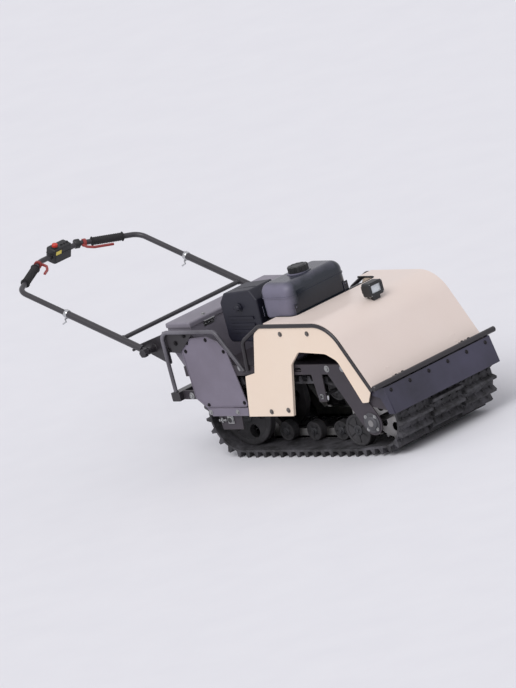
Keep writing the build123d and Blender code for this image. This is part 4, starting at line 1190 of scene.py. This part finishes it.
makeBolts()
makeAxleEnds(axleEnds)
makeWheelFaces(wheelLook)
makeTrackDetail(trackLook)
makeWearStrips(railLook)
makeFrameWelds(frameWelds, weldLook)
makeRims(rimLook)
makeBumperTrim(bumperLook)
makeBoxTrim(boxLook)
print("frame, track and sheet details made")
makeEngineScrews(engineLook)
makeStarterGrip(starterLook)
makeFilterCover(filterLook)
makeHeatShield(heatShield)
makeTankTrim(tankLook)
print("engine details made")
makeHoodTrim(hoodLook)
makeLampTrim(lampLook)
makeGripRibs(barLook)
makeSleeveClamps(barLook)
makeHandleWelds(barLook)
makePodTrim(barLook, podLook)
print("hood and handlebar details made")


# floor, sky and lamp

stageLook = {
    "floorHalf": 60.0, "floorColours": ("#e0dfe4", "#e6e5e9"),
    "sky": (0.95, 0.955, 1.0), "skyStrength": 0.66, "backdrop": "#e4e3e8",
    "sunTurn": (42, 0, 18), "sunStrength": 1.55, "sunAngle": 40,
}


def makeFloor(look):
    # matt plaster: pale, with a speckle too faint to draw the eye
    mesh = bpy.data.meshes.new("floor")
    half = look["floorHalf"]
    mesh.from_pydata([(half * i, half * j, 0) for i, j in cornerSigns], [], [(0, 1, 2, 3)])
    material, tree, shader, place = startMaterial("palePlaster")
    addPatches(tree, shader, place, "plasterSpeck", look["floorColours"], 5.0)
    shader.inputs["Roughness"].default_value = 0.9
    mesh.materials.append(material)
    addObject("floor", mesh)


def makeLight(look):
    # a dim even sky lights the machine, while the camera, gloss and glass see a pale backdrop
    world = bpy.data.worlds.new("studioSky")
    bpy.context.scene.world = world
    world.use_nodes = True
    tree = world.node_tree
    light = tree.nodes["Background"]
    light.inputs["Color"].default_value = look["sky"] + (1.0,)
    light.inputs["Strength"].default_value = look["skyStrength"]
    backdrop = addNode(tree, "ShaderNodeBackground", {"Color": linear(look["backdrop"]), "Strength": 1.0})
    ray = addNode(tree, "ShaderNodeLightPath")
    seen = ray.outputs["Is Camera Ray"]
    for kind in ("Is Glossy Ray", "Is Transmission Ray"):
        both = addNode(tree, "ShaderNodeMath", {0: seen, 1: ray.outputs[kind]}, operation="MAXIMUM")
        seen = both.outputs["Value"]
    mix = addNode(tree, "ShaderNodeMixShader", {
        0: seen, 1: light.outputs["Background"], 2: backdrop.outputs["Background"],
    })
    tree.links.new(mix.outputs["Shader"], tree.nodes["World Output"].inputs["Surface"])
    lamp = bpy.data.lights.new("softSun", "SUN")
    lamp.energy = look["sunStrength"]
    lamp.angle = math.radians(look["sunAngle"])
    addObject("softSun", lamp).rotation_euler = [math.radians(a) for a in look["sunTurn"]]


makeFloor(stageLook)
makeLight(stageLook)
bpy.context.scene.view_settings.view_transform = "Standard"
print("stage lit")
